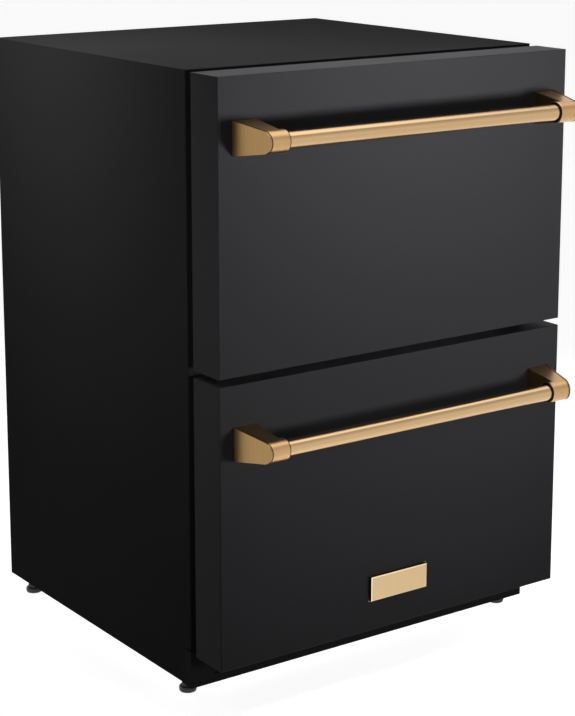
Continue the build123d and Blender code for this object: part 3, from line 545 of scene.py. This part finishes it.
class FreezerStage(bpy.types.PropertyGroup):
    """The camera, the floor and the lights."""

    lens: FloatProperty(
        name="Lens",
        description="Focal length of the camera, in millimetres",
        subtype="DISTANCE_CAMERA",
        unit="CAMERA",
        default=97.6,
    )
    camera_place: FloatVectorProperty(
        name="Camera Place",
        description="Where the camera stands",
        subtype="TRANSLATION",
        unit="LENGTH",
        size=3,
        default=(-1.6409, -2.3195, 1.1565),
    )
    turn: FloatProperty(
        name="Turn",
        description="How far the camera looks to the right of straight back",
        subtype="ANGLE",
        unit="ROTATION",
        default=math.radians(35.313),
    )
    tilt: FloatProperty(
        name="Tilt",
        description="How far the camera looks down",
        subtype="ANGLE",
        unit="ROTATION",
        default=math.radians(11.704),
    )
    shift: FloatProperty(name="Shift", description="Vertical lens shift", default=-0.15)
    floor_colour: FloatVectorProperty(
        name="Floor Colour",
        description="Colour of the floor and the backdrop",
        default=linear("#b0b0b0"),
        **COLOUR,
    )
    floor_glow: FloatProperty(
        name="Floor Glow", description="White that the floor shows even in the shadow", default=0.9
    )
    air_level: FloatProperty(
        name="Air Level", description="Strength of the soft light from all round", default=0.12
    )
    ceiling_level: FloatProperty(
        name="Ceiling Level",
        description="How bright the ceiling softbox is in reflections",
        default=1.2,
    )
    key_power: FloatProperty(
        name="Key Light", description="Power of the softbox in front", unit="POWER", default=11.0
    )
    brow_power: FloatProperty(
        name="Brow Light",
        description="Power of the softbox over the upper front",
        unit="POWER",
        default=0.8,
    )
    side_power: FloatProperty(
        name="Side Light",
        description="Power of the softbox behind on the left",
        unit="POWER",
        default=0.8,
    )
    top_power: FloatProperty(
        name="Top Light",
        description="Power of the softbox over the top's left edge",
        unit="POWER",
        default=0.9,
    )
    drawer_power: FloatProperty(
        name="Drawer Light",
        description="Power of the softbox over the open drawers",
        unit="POWER",
        default=1.1,
    )
    flank_power: FloatProperty(
        name="Flank Light",
        description="Power of the softbox left of the open drawers",
        unit="POWER",
        default=0.4,
    )
    fill_power: FloatProperty(
        name="Fill Lights",
        description="Power of the softboxes right and behind",
        unit="POWER",
        default=8.0,
    )


# Stage


class FREEZER_OT_stage(bpy.types.Operator):
    """Set up the floor, the soft lights and the camera"""

    bl_idname = "freezer.stage"
    bl_label = "Studio"

    def execute(self, context):
        look = context.scene.freezer_stage
        self.make_floor(look)
        self.make_world(context, look)
        for name, where, target, size, spread, power in SOFTBOXES:
            self.make_light(name, where, target, size, getattr(look, power), spread)
        self.make_camera(context, look)
        context.scene.view_settings.view_transform = "Standard"
        return {"FINISHED"}

    def make_floor(self, look):
        """A floor that curves up into a backdrop far behind the freezer."""
        mesh = bmesh.new()
        section = [(-9.0, 0.0), (4.0, 0.0)]
        for i in range(1, 9):
            a = math.radians(90 * i / 8)
            section.append((4.0 + 2.0 * math.sin(a), 2.0 - 2.0 * math.cos(a)))
        section.append((6.0, 9.0))
        rows = [[mesh.verts.new((x, y, z)) for y, z in section] for x in (-12.0, 12.0)]
        for i in range(len(section) - 1):
            mesh.faces.new((rows[0][i], rows[0][i + 1], rows[1][i + 1], rows[1][i]))
        data = bpy.data.meshes.new("studio_floor")
        mesh.to_mesh(data)
        mesh.free()
        data.shade_smooth()
        data.materials.append(self.floor_material(look))
        put("studio_floor", data)

    def seen_direct(self, tree):
        """One where the camera, a reflection or a clear piece sees the spot, else nought."""
        ray = node(tree, "ShaderNodeLightPath")
        shown = ray.outputs["Is Camera Ray"]
        for name in ("Is Glossy Ray", "Is Transmission Ray"):
            both = {0: shown, 1: ray.outputs[name]}
            shown = node(tree, "ShaderNodeMath", both, operation="MAXIMUM").outputs["Value"]
        return shown

    def floor_material(self, look):
        """Matt studio paper, lit from below so that it shows white under a soft shadow."""
        material, tree, shader = blank_material("studio_paper", Specular_IOR_Level=0.1)
        # Paper fibre is too fine to show, so its tone wanders over half a metre instead.
        fibre = noise(tree, 500.0)
        paper = look.floor_colour
        two_tone(tree, shader, fibre, scaled(paper, 0.985), paper)
        rough_range(tree, shader, fibre, 0.85, 0.95)
        level = node(
            tree, "ShaderNodeMapRange", {"Value": self.seen_direct(tree), "To Max": look.floor_glow}
        )
        glow = node(tree, "ShaderNodeEmission", {"Strength": level.outputs["Result"]})
        layers = {0: shader.outputs["BSDF"], 1: glow.outputs["Emission"]}
        sheet = node(tree, "ShaderNodeAddShader", layers)
        tree.links.new(sheet.outputs["Shader"], tree.nodes["Material Output"].inputs["Surface"])
        return material

    def make_world(self, context, look):
        """White walls that the camera and reflections see, under a wide ceiling softbox."""
        world = bpy.data.worlds.new("studio_air")
        context.scene.world = world
        world.use_nodes = True
        tree = world.node_tree
        where = node(tree, "ShaderNodeTexCoord")
        axes = node(tree, "ShaderNodeSeparateXYZ", {"Vector": where.outputs["Generated"]})
        # The walls darken as they rise, and the ceiling softbox has a soft rim.
        wall = {"Value": axes.outputs["Z"], "From Min": 0.15, "From Max": 0.66}
        wall = node(tree, "ShaderNodeMapRange", {**wall, "To Min": 1.0, "To Max": 0.55})
        box = {"Value": axes.outputs["Z"], "From Min": 0.68, "From Max": 0.76}
        box = node(tree, "ShaderNodeMapRange", {**box, "To Max": look.ceiling_level})
        shown = {0: wall.outputs["Result"], 1: box.outputs["Result"]}
        shown = node(tree, "ShaderNodeMath", shown, operation="ADD").outputs["Value"]
        level = {"Value": self.seen_direct(tree), "To Min": look.air_level, "To Max": shown}
        level = node(tree, "ShaderNodeMapRange", level)
        background = tree.nodes["Background"]
        background.inputs["Color"].default_value = (1.0, 1.0, 1.0, 1.0)
        tree.links.new(level.outputs["Result"], background.inputs["Strength"])

    def make_light(self, name, where, target, size, power, spread):
        """One softbox aimed at a point, with a grid that narrows its beam to an angle.

        Metal shows the painted walls and ceiling instead of the softboxes."""
        data = bpy.data.lights.new(name, "AREA")
        data.shape = "SQUARE"
        data.size = size
        data.energy = power
        data.spread = math.radians(spread)
        lamp = put(name, data)
        lamp.visible_glossy = False
        lamp.location = where
        lamp.rotation_euler = (Vector(target) - Vector(where)).to_track_quat("-Z", "Y").to_euler()

    def make_camera(self, context, look):
        """A camera at the photograph's place."""
        data = bpy.data.cameras.new("camera")
        data.lens = look.lens
        data.shift_y = look.shift
        data.clip_end = 60.0
        camera = put("camera", data)
        camera.location = look.camera_place
        camera.rotation_euler = (math.radians(90) - look.tilt, 0.0, -look.turn)
        context.scene.camera = camera


# Cabinet


class FREEZER_OT_cabinet(bpy.types.Operator):
    """Paint the case, and dress its back and base"""

    bl_idname = "freezer.cabinet"
    bl_label = "Cabinet"

    def execute(self, context):
        paint("case_powder_coat", "side_panel_left", "side_panel_right", "top_panel", "case_bottom")
        paint("grille_powder_coat", "kick_grille")
        paint("galvanised_steel", "back_panel", "base_pan", "machine_cover")
        paint("insulation_foam", "insulation_foam")
        paint("seal_rubber", "power_inlet")
        self.back_screws(context)
        self.foam_plugs()
        self.pressed_beads()
        return {"FINISHED"}

    def pressed_beads(self):
        """The long beads pressed into the back panel to stiffen it."""
        low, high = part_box("back_panel")
        half = 7.0 * MM
        spacing, margin = 0.21, 0.035
        seat = high.y - 0.3 * MM
        ends = (low.z + margin, high.z - margin)
        turns = [math.pi * k / 10 for k in range(11)]
        mesh = bmesh.new()
        for x in (-spacing, 0.0, spacing):
            rings = []
            # Each cross-section is an arch, and the arches get lower towards both ends.
            for step, rise in [(0, 0.02), (4, 0.5), (9, 0.9), (-9, 0.9), (-4, 0.5), (0, 0.02)]:
                z = (ends[0] if len(rings) < 3 else ends[1]) + step * MM
                arch = [(half * math.cos(a), rise * MM * math.sin(a)) for a in turns]
                ring = [(x + a, high.y + b, z) for a, b in arch]
                ring += [(x - half, seat, z), (x + half, seat, z)]
                rings.append([mesh.verts.new(point) for point in ring])
            bridge(mesh, rings)
        piece("back_beads", mesh, "galvanised_steel", "cabinet")

    def back_screws(self, context):
        """Screws along the rear flanges and round the machine cover."""
        head = context.scene.freezer_fittings.screw_head / MM
        low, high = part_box("back_panel")
        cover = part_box("machine_cover")
        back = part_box("side_panel_left")[1].y
        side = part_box("side_panel_right")[1].x - FLANGE_MIDDLE * MM
        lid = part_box("top_panel")[1].z - LID_FLANGE_MIDDLE * MM
        end = 0.03
        mesh = bmesh.new()
        for x in (-side, side):
            for i in range(6):
                z = low.z + end + i * (high.z - low.z - 2 * end) / 5
                pan_head_screw(mesh, (x, back, z), "Y", -1, head)
            for z in (cover[0].z + end, cover[1].z - end):
                pan_head_screw(mesh, (x, back, z), "Y", -1, head)
        spacing = 0.11
        for i in range(-2, 3):
            pan_head_screw(mesh, (i * spacing, back, lid), "Y", -1, head)
        piece("back_screws", mesh, "zinc_plated_steel", "cabinet")

    def foam_plugs(self):
        """The two caps that close the foaming holes in the back panel."""
        low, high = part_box("back_panel")
        reach, rise = 0.15, 0.4
        profile = [(14, 0), (14, -0.6), (12.5, -1.3), (6, -1.3), (5, -0.7), (0.5, -0.7)]
        mesh = bmesh.new()
        for x in (-reach, reach):
            lathe(mesh, profile, (x, high.y, low.z + rise), "Y", 32)
        piece("foam_plugs", mesh, "black_moulded_plastic", "cabinet")


class FREEZER_OT_feet(bpy.types.Operator):
    """Replace the feet by turned ones with ribbed pads and threaded studs"""

    bl_idname = "freezer.feet"
    bl_label = "Levelling Feet"

    def execute(self, context):
        pitch = context.scene.freezer_fittings.thread_pitch / MM
        for name in FEET:
            low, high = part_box(name)
            centre = (low + high) / 2
            centre.z = 0.0
            mesh = bmesh.new()
            self.pad(mesh, centre, (high.x - low.x) / 2 / MM)
            pad = piece(name + "_pad", mesh, "black_moulded_plastic", name)
            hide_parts(name)
            mesh = bmesh.new()
            self.stud(mesh, centre, STUD_RADIUS, PAD_TOP, high.z / MM, pitch)
            piece(name + "_stud", mesh, "zinc_plated_steel", name)
        return {"FINISHED"}

    def pad(self, mesh, centre, radius):
        """A glass-filled nylon pad whose rim has finger ribs, under a hexagon."""
        profile = [(radius - 3.0, 0.0), (radius - 0.8, 0.9), (radius, 3.0), (radius, 6.6)]
        profile += [(radius - 0.9, 8.0)]
        segments = 48
        rings = []
        for r, z in profile:
            ring = []
            for i in range(segments):
                # Every fourth point of the upright rim is drawn in, between two ribs.
                groove = 0.45 if i % 4 == 0 and 2.0 < z < 7.0 else 0.0
                a = 2 * math.pi * i / segments
                local = Vector(((r - groove) * math.cos(a), (r - groove) * math.sin(a), z))
                ring.append(mesh.verts.new(centre + local * MM))
            rings.append(ring)
        bridge(mesh, rings)
        # The hexagon that a spanner grips, 17 mm across its flats
        across = 8.5 / math.cos(math.radians(30))
        hexagon = [(across - 0.9, 8.0), (across, 8.8)]
        hexagon += [(across, PAD_TOP - 0.8), (across - 0.9, PAD_TOP)]
        lathe(mesh, hexagon, centre, "Z", 6)

    def stud(self, mesh, centre, radius, low, high, pitch):
        """A rolled thread round a plain core."""
        steps = 16
        turns = (high - low) / pitch
        count = int(turns * steps)
        depth = 0.6 * pitch
        rows = []
        for i in range(count + 1):
            a = 2 * math.pi * i / steps
            z = low + pitch * i / steps
            row = []
            for r, dz in ((radius - depth, -0.5), (radius, 0.0), (radius - depth, 0.5)):
                height = min(max(z + dz * pitch, low), high)
                local = Vector((r * math.cos(a), r * math.sin(a), height))
                row.append(mesh.verts.new(centre + local * MM))
            rows.append(row)
        for row, following in zip(rows, rows[1:]):
            for k in range(2):
                mesh.faces.new((row[k], row[k + 1], following[k + 1], following[k]))
        lathe(mesh, [(radius - depth, low - 1.0), (radius - depth, high)], centre, "Z", 16)


# Fronts


class FREEZER_OT_fronts(bpy.types.Operator):
    """Paint the drawer fronts and their inner panels"""

    bl_idname = "freezer.fronts"
    bl_label = "Drawer Fronts"

    def execute(self, context):
        for drawer in DRAWERS:
            paint("front_satin_paint", drawer + "_front_skin")
            paint("insulation_foam", drawer + "_front_foam")
            paint("white_liner_polystyrene", drawer + "_front_liner")
        return {"FINISHED"}


class FREEZER_OT_seals(bpy.types.Operator):
    """Replace the plain seals by folded bellows seals"""

    bl_idname = "freezer.seals"
    bl_label = "Magnetic Seals"

    def execute(self, context):
        # Each point is how far in from the outer edge and how far back from the front, in mm.
        section = [(0.0, 13.2), (0.0, 9.6), (1.2, 8.7), (5.0, 8.2), (2.2, 7.0), (1.6, 5.8)]
        section += [(5.4, 4.6), (2.6, 3.6), (1.5, 2.6), (1.5, 0.0), (18.5, 0.0), (18.5, 2.4)]
        section += [(15.2, 3.6), (18.0, 5.4), (14.8, 7.4), (18.8, 8.7), (20.0, 9.6)]
        section += [(20.0, 12.6), (19.2, 13.2), (10.6, 13.2), (10.0, 12.5), (9.4, 13.2)]
        for drawer in DRAWERS:
            low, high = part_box(drawer + "_gasket")
            mesh = bmesh.new()
            # The seal's corners are welded, so its section runs round them unchanged.
            loops = [rectangle(low, high, low.y + depth * MM, inset) for inset, depth in section]
            loop_strip(mesh, loops)
            name = drawer + "_bellows_seal"
            seal = piece(name, mesh, "seal_rubber", drawer + "_drawer")
            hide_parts(drawer + "_gasket")
        return {"FINISHED"}


# Handles and badge


class FREEZER_OT_handles(bpy.types.Operator):
    """Finish the bars and posts in brushed bronze and add their set screws"""

    bl_idname = "freezer.handles"
    bl_label = "Handles"

    def execute(self, context):
        for drawer in DRAWERS:
            post = drawer + "_handle_post_"
            paint("brushed_bronze_tube", drawer + "_handle_bar")
            paint("brushed_bronze_casting", post + "left", post + "right")
            paint("brushed_bronze_cap", drawer + "_handle_end_caps")
            self.set_screws(drawer)
            self.mouth_shade_bushes(drawer)
            self.seam_shade_fillers(context, drawer)
        return {"FINISHED"}

    def mouth_shade_bushes(self, drawer):
        """Black rings round the bar at the ferrules' mouths: painted shade that darkens the
        ferrules' end faces.
        """
        low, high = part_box(drawer + "_handle_bar")
        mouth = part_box(drawer + "_handle_post_left")[1].x
        centre_y, centre_z = (low.y + high.y) / 2, (low.z + high.z) / 2
        radius = (high.z - low.z) / 2 / MM
        mesh = bmesh.new()
        for side in (-1, 1):
            profile = [(radius + 0.1, 0.0), (radius + 0.1, 0.9), (radius + 2.4, 0.9)]
            profile += [(radius + 2.8, 0.5), (radius + 2.8, 0.0), (radius + 2.1, -0.1)]
            profile = [(r, -side * height) for r, height in profile]
            lathe(mesh, profile, (-side * mouth, centre_y, centre_z), "X", 40, hollow=True)
        piece(drawer + "_handle_bushes", mesh, "bush_nylon", drawer + "_drawer")

    def seam_shade_fillers(self, context, drawer):
        """Black rubber fillers in the seams between the posts and their end plates: painted shade
        that darkens the seams.
        """
        fittings = context.scene.freezer_fittings
        low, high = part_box(drawer + "_handle_post_left")
        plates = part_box(drawer + "_handle_end_caps")
        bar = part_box(drawer + "_handle_bar")
        nose = Vector(((bar[0].y + bar[1].y) / 2, (bar[0].z + bar[1].z) / 2))
        half_base, radius = (high.z - low.z) / 2, nose.x - low.y
        slope = Vector((fittings.cap_slope, low.y - high.y)).normalized()
        foot = plates[0].x + fittings.plate_edge
        near, far = SEAM
        section = [(-SEAM_SHADE_PROUD, near), (-SEAM_SHADE_PROUD, far)]
        section += [(SEAM_SHADE_REACH, far), (SEAM_SHADE_REACH, near)]
        mesh = bmesh.new()
        for side in (-1, 1):
            loops = []
            for inset, depth in section:
                loop = []
                for y, z in self.outline(nose, high.y, half_base, radius, inset * MM):
                    # The point lies on the plane of the plate's slanted face, moved in by a depth.
                    x = foot + (depth * MM + (high.y - y) * slope.x) / -slope.y
                    loop.append((-side * x, y, z))
                loops.append(loop)
            loop_strip(mesh, loops)
        # Painted shade: black rubber fills each seam, so that the seams look shaded.
        piece(drawer + "_handle_gaskets", mesh, "seal_rubber", drawer + "_drawer")

    def outline(self, nose, base, half_base, radius, inset):
        """The post from the side: a tall foot and a round nose, with straight sides between."""
        foot, radius = half_base - inset, radius - inset
        reach = Vector((base - nose.x, foot))
        start = math.atan2(reach.y, reach.x) + math.acos(radius / reach.length)
        off_front = base - 0.05 * MM
        points = [(off_front, nose.y - foot), (off_front, nose.y + foot)]
        for i in range(25):
            a = start + (2 * math.pi - 2 * start) * i / 24
            points.append((nose.x + radius * math.cos(a), nose.y + radius * math.sin(a)))
        return points

    def set_screws(self, drawer):
        """The socket screws under the ferrules that hold the bar."""
        low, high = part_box(drawer + "_handle_bar")
        y = (low.y + high.y) / 2
        under = (low.z + high.z) / 2 - SET_SCREW_DROP * MM
        profile = [(2.4, 2.0), (2.4, 0.1), (2.1, -0.1), (1.3, -0.1), (1.2, 1.4), (0.2, 1.4)]
        mesh = bmesh.new()
        for x in (low.x + SET_SCREW_INSET * MM, high.x - SET_SCREW_INSET * MM):
            lathe(mesh, profile, (x, y, under), "Z", 6)
        name = drawer + "_handle_set_screws"
        piece(name, mesh, "zinc_plated_steel", drawer + "_drawer")


class FREEZER_OT_badge(bpy.types.Operator):
    """Finish the bare plate on the lower front, with painted shade on its recessed sides and a
    painted highlight round its bevel
    """

    bl_idname = "freezer.badge"
    bl_label = "Badge Plate"

    def execute(self, context):
        paint("satin_bronze_plate", "badge_plate")
        # Each point is how far in from the flange's edge and how far out from its back, in mm.
        # Painted shade: a near-black band over the plate's recessed sides, dark as if they lay in
        # shade.
        recess = [(0.45, 1.3), (0.45, 1.46), (1.33, 1.46), (1.33, 5.5), (1.5, 5.5), (1.5, 1.3)]
        self.rim("badge_recess_lacquer", recess, "black_recess_lacquer", "front_black")
        # Painted highlight: a pale bronze band round the plate's bevel, light as if it caught the
        # lamps.
        bevel = [(1.6, 5.5), (1.36, 5.5), (1.36, 5.64), (2.28, 6.54), (2.5, 6.54), (2.5, 6.4)]
        self.rim("badge_burnished_edge", bevel, "burnished_bronze_edge", "bronze_plate")
        return {"FINISHED"}

    def rim(self, name, section, material_name, slot):
        """A thin section carried round the plate."""
        low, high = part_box("badge_plate")
        loops = [rectangle(low, high, high.y - rise * MM, inset) for inset, rise in section]
        mesh = bmesh.new()
        loop_strip(mesh, loops)
        piece(name, mesh, material_name, "lower_drawer")


# Slides and bins


class FREEZER_OT_slides(bpy.types.Operator):
    """Finish the telescopic slides and fill their cages with balls"""

    bl_idname = "freezer.slides"
    bl_label = "Telescopic Slides"

    def execute(self, context):
        for drawer in DRAWERS:
            members = ("outer_members", "middle_members", "inner_members")
            paint("zinc_plated_steel", *[drawer + "_slide_" + m for m in members])
            for cage, track in (("outer", OUTER_TRACK), ("inner", INNER_TRACK)):
                paint("zinc_plated_steel", drawer + "_" + cage + "_ball_cages")
                self.balls(context, drawer, cage, track)
            self.stops(drawer)
        return {"FINISHED"}

    def balls(self, context, drawer, cage, track):
        """The balls of both slides' cages, as one piece on the cages' body."""
        fittings = context.scene.freezer_fittings
        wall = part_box(drawer + "_slide_outer_members")
        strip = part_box(drawer + "_" + cage + "_ball_cages")
        middle_z = (wall[0].z + wall[1].z) / 2
        reach = wall[1].x - track[0] * MM
        step = (strip[1].y - strip[0].y - 2 * CAGE_END * MM) / (fittings.balls_per_track - 1)
        mesh = bmesh.new()
        for x in (-reach, reach):
            for z in (middle_z - track[1] * MM, middle_z + track[1] * MM):
                for i in range(fittings.balls_per_track):
                    spot = Matrix.Translation((x, strip[0].y + CAGE_END * MM + i * step, z))
                    radius = fittings.ball_diameter / 2
                    bmesh.ops.create_icosphere(mesh, subdivisions=2, radius=radius, matrix=spot)
        name = drawer + "_" + cage
        piece(name + "_balls", mesh, "chrome_steel_balls", name + "_cages")

    def stops(self, drawer):
        """Rubber buffers in the rear of the fixed members, which catch the drawer."""
        low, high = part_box(drawer + "_slide_outer_members")
        bottom, top = (low.z + high.z) / 2 - 8 * MM, (low.z + high.z) / 2 + 8 * MM
        front, back = high.y + 0.2 * MM, high.y + 5 * MM
        mesh = bmesh.new()
        for side in (-1, 1):
            near, far = sorted((side * (high.x - 1.3 * MM), side * (high.x - 10.0 * MM)))
            rounded_bar(mesh, (near, front, bottom), (far, back, top), 1.2)
        piece(drawer + "_slide_buffers", mesh, "mount_rubber", "cabinet")


class FREEZER_OT_bins(bpy.types.Operator):
    """Finish the bins and their frames"""

    bl_idname = "freezer.bins"
    bl_label = "Bins"

    def execute(self, context):
        for drawer in DRAWERS:
            paint("white_bin_abs", drawer + "_bin")
            paint("grey_frame_powder_coat", drawer + "_bin_frame")
        self.floor_ribs("upper", 165)
        self.floor_ribs("lower", 50)
        return {"FINISHED"}

    def floor_ribs(self, drawer, rear):
        """Moulded ribs that keep packs clear of meltwater, back to a place in mm."""
        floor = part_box(drawer + "_bin")[0].z + BIN_FLOOR * MM
        mesh = bmesh.new()
        for i in range(9):
            x = (i - 4) * 42 * MM
            low = (x - 2 * MM, -0.15, floor - 0.8 * MM)
            rounded_bar(mesh, low, (x + 2 * MM, rear * MM, floor + 1.8 * MM), 0.8)
        piece(drawer + "_bin_ribs", mesh, "white_bin_abs", drawer + "_drawer")


# Inside


class FREEZER_OT_interior(bpy.types.Operator):
    """Finish the liner, the evaporator and its cover, the controls and the lights"""

    bl_idname = "freezer.interior"
    bl_label = "Interior"

    def execute(self, context):
        paint("white_liner_polystyrene", "inner_liner", "mullion", "evaporator_cover")
        paint("fin_aluminium", "evaporator")
        paint("galvanised_steel", "evaporator_fan_motor")
        paint("black_moulded_plastic", "evaporator_fan_blades")
        paint("black_control_glass", "control_panel")
        paint("frosted_diffuser", "upper_light_bar", "lower_light_bar")
        self.keys()
        self.light_ends()
        self.cover_screws(context)
        return {"FINISHED"}

    def keys(self):
        """Plain rings printed round the touch keys on the underside of the control panel."""
        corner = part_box("control_panel")[0]
        profile = [(7.0, 0.1), (7.0, -0.15), (6.4, -0.15), (6.4, 0.1)]
        mesh = bmesh.new()
        for i in range(5):
            centre = (-0.072 + 0.036 * i, corner.y + 0.026, corner.z)
            lathe(mesh, profile, centre, hollow=True)
        piece("control_key_rings", mesh, "printed_key_white", "cabinet")

    def light_ends(self):
        """The grey clips that hold each light bar by its ends."""
        for drawer in DRAWERS:
            low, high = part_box(drawer + "_light_bar")
            mesh = bmesh.new()
            for x in (low.x - 4 * MM, high.x - 2 * MM):
                corner = (x, low.y - 0.8 * MM, low.z - 0.8 * MM)
                rounded_bar(mesh, corner, (x + 6 * MM, high.y + 0.8 * MM, high.z - 0.1 * MM), 0.7)
            name = drawer + "_light_clips"
            piece(name, mesh, "grey_moulded_plastic", "cabinet")

    def cover_screws(self, context):
        """The screws that hold the evaporator cover."""
        head = context.scene.freezer_fittings.screw_head / MM
        low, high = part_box("evaporator_cover")
        inset = 0.022
        mesh = bmesh.new()
        for x in (low.x + inset, high.x - inset):
            for z in (low.z + inset, (low.z + high.z) / 2, high.z - inset):
                pan_head_screw(mesh, (x, low.y, z), "Y", 1, head)
        piece("evaporator_cover_screws", mesh, "zinc_plated_steel", "cabinet")


class FREEZER_OT_machinery(bpy.types.Operator):
    """Finish the compressor, the condenser and their fan"""

    bl_idname = "freezer.machinery"
    bl_label = "Machinery"

    def execute(self, context):
        paint("compressor_enamel", "compressor")
        paint("condenser_enamel", "condenser")
        paint("galvanised_steel", "condenser_fan_motor")
        paint("black_moulded_plastic", "condenser_fan_blades", "drip_tray")
        paint("grey_moulded_plastic", "control_box")
        self.compressor_shell()
        self.pipes()
        return {"FINISHED"}

    def compressor_shell(self):
        """The welded flange round the compressor's pot, and the cover of its terminals."""
        low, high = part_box("compressor")
        x, y, radius = (low.x + high.x) / 2, (low.y + high.y) / 2, (high.y - low.y) / 2 / MM
        mesh = bmesh.new()
        profile = [(radius - 0.5, -3.5), (radius + 2.2, -2.0)]
        profile += [(radius + 2.2, 2.0), (radius - 0.5, 3.5)]
        lathe(mesh, profile, (x, y, WELD_RISE * MM), "Z", 64, hollow=True)
        piece("compressor_weld_flange", mesh, "compressor_enamel", "cabinet")
        mesh = bmesh.new()
        near = x - radius * MM
        rounded_bar(mesh, (near - 0.016, y - 0.026, 0.122), (near + 0.006, y + 0.026, 0.162), 3.0)
        name = "compressor_terminal_cover"
        piece(name, mesh, "black_moulded_plastic", "cabinet")

    def pipes(self):
        """The copper pipes from the compressor to the condenser, and up to the evaporator."""
        pot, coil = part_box("compressor"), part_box("condenser")
        stub = ((pot[0].x + pot[1].x) / 2 + 0.053, (pot[0].y + pot[1].y) / 2, pot[1].z - 0.004)
        # The coil's two ends, the height of the run over the pot and the bend beside the coil
        out_x, out_y = coil[1].x - 0.003, coil[1].y - 0.008
        top, low = coil[1].z - 0.020, coil[0].z + 0.020
        run = pot[1].z + 0.013
        side = out_x + 0.020
        # Two pipes go up into the foam, through the compartment's ceiling.
        ceiling = 0.2145
        hot = [stub, (stub[0], stub[1], run), (stub[0] + 0.045, stub[1], run), (0.17, out_y, run)]
        hot += [(side, out_y, run), (side, out_y, top), (out_x, out_y, top)]
        tube_piece("discharge_pipe", hot, 6.0, "copper_tube", "cabinet")
        liquid = [(out_x, out_y, low), (side, out_y, low), (side, out_y, low + 0.03)]
        liquid += [(side + 0.012, out_y, 0.16), (side + 0.012, out_y, ceiling)]
        tube_piece("liquid_pipe", liquid, 5.0, "copper_tube", "cabinet")
        bend_x, bend_y = stub[0] + 0.03, stub[1] + 0.072
        cold = [(stub[0] - 0.009, stub[1] + 0.044, 0.14), (stub[0] + 0.022, stub[1] + 0.068, 0.14)]
        cold += [(bend_x, bend_y, 0.17), (bend_x, bend_y, ceiling)]
        tube_piece("suction_pipe", cold, 8.0, "copper_tube", "cabinet")


class FREEZER_PT_panel(bpy.types.Panel):
    """Lists the sizes, the colours and the steps of the freezer"""

    bl_idname = "FREEZER_PT_panel"
    bl_label = "Freezer"
    bl_space_type = "VIEW_3D"
    bl_region_type = "UI"
    bl_category = "Freezer"

    def draw(self, context):
        for group in ("freezer_look", "freezer_fittings", "freezer_stage"):
            settings = getattr(context.scene, group)
            column = self.layout.column(align=True)
            for name in settings.__annotations__:
                column.prop(settings, name)
        column = self.layout.column(align=True)
        for operator in OPERATORS:
            column.operator(operator.bl_idname)


OPERATORS = (
    FREEZER_OT_stage,
    FREEZER_OT_cabinet,
    FREEZER_OT_feet,
    FREEZER_OT_fronts,
    FREEZER_OT_seals,
    FREEZER_OT_handles,
    FREEZER_OT_badge,
    FREEZER_OT_slides,
    FREEZER_OT_bins,
    FREEZER_OT_interior,
    FREEZER_OT_machinery,
)
GROUPS = (FreezerLook, FreezerFittings, FreezerStage)


def register():
    """Adds the settings, the operators and the panel to Blender."""
    for group in (*GROUPS, *OPERATORS, FREEZER_PT_panel):
        bpy.utils.register_class(group)
    bpy.types.Scene.freezer_look = PointerProperty(type=FreezerLook)
    bpy.types.Scene.freezer_fittings = PointerProperty(type=FreezerFittings)
    bpy.types.Scene.freezer_stage = PointerProperty(type=FreezerStage)


def unregister():
    """Takes them all out again."""
    del bpy.types.Scene.freezer_stage
    del bpy.types.Scene.freezer_fittings
    del bpy.types.Scene.freezer_look
    for group in reversed((*GROUPS, *OPERATORS, FREEZER_PT_panel)):
        bpy.utils.unregister_class(group)


def main():
    """Dresses the freezer from start to end."""
    register()
    for operator in OPERATORS:
        family, name = operator.bl_idname.split(".")
        getattr(getattr(bpy.ops, family), name)()


if __name__ == "__main__":
    main()
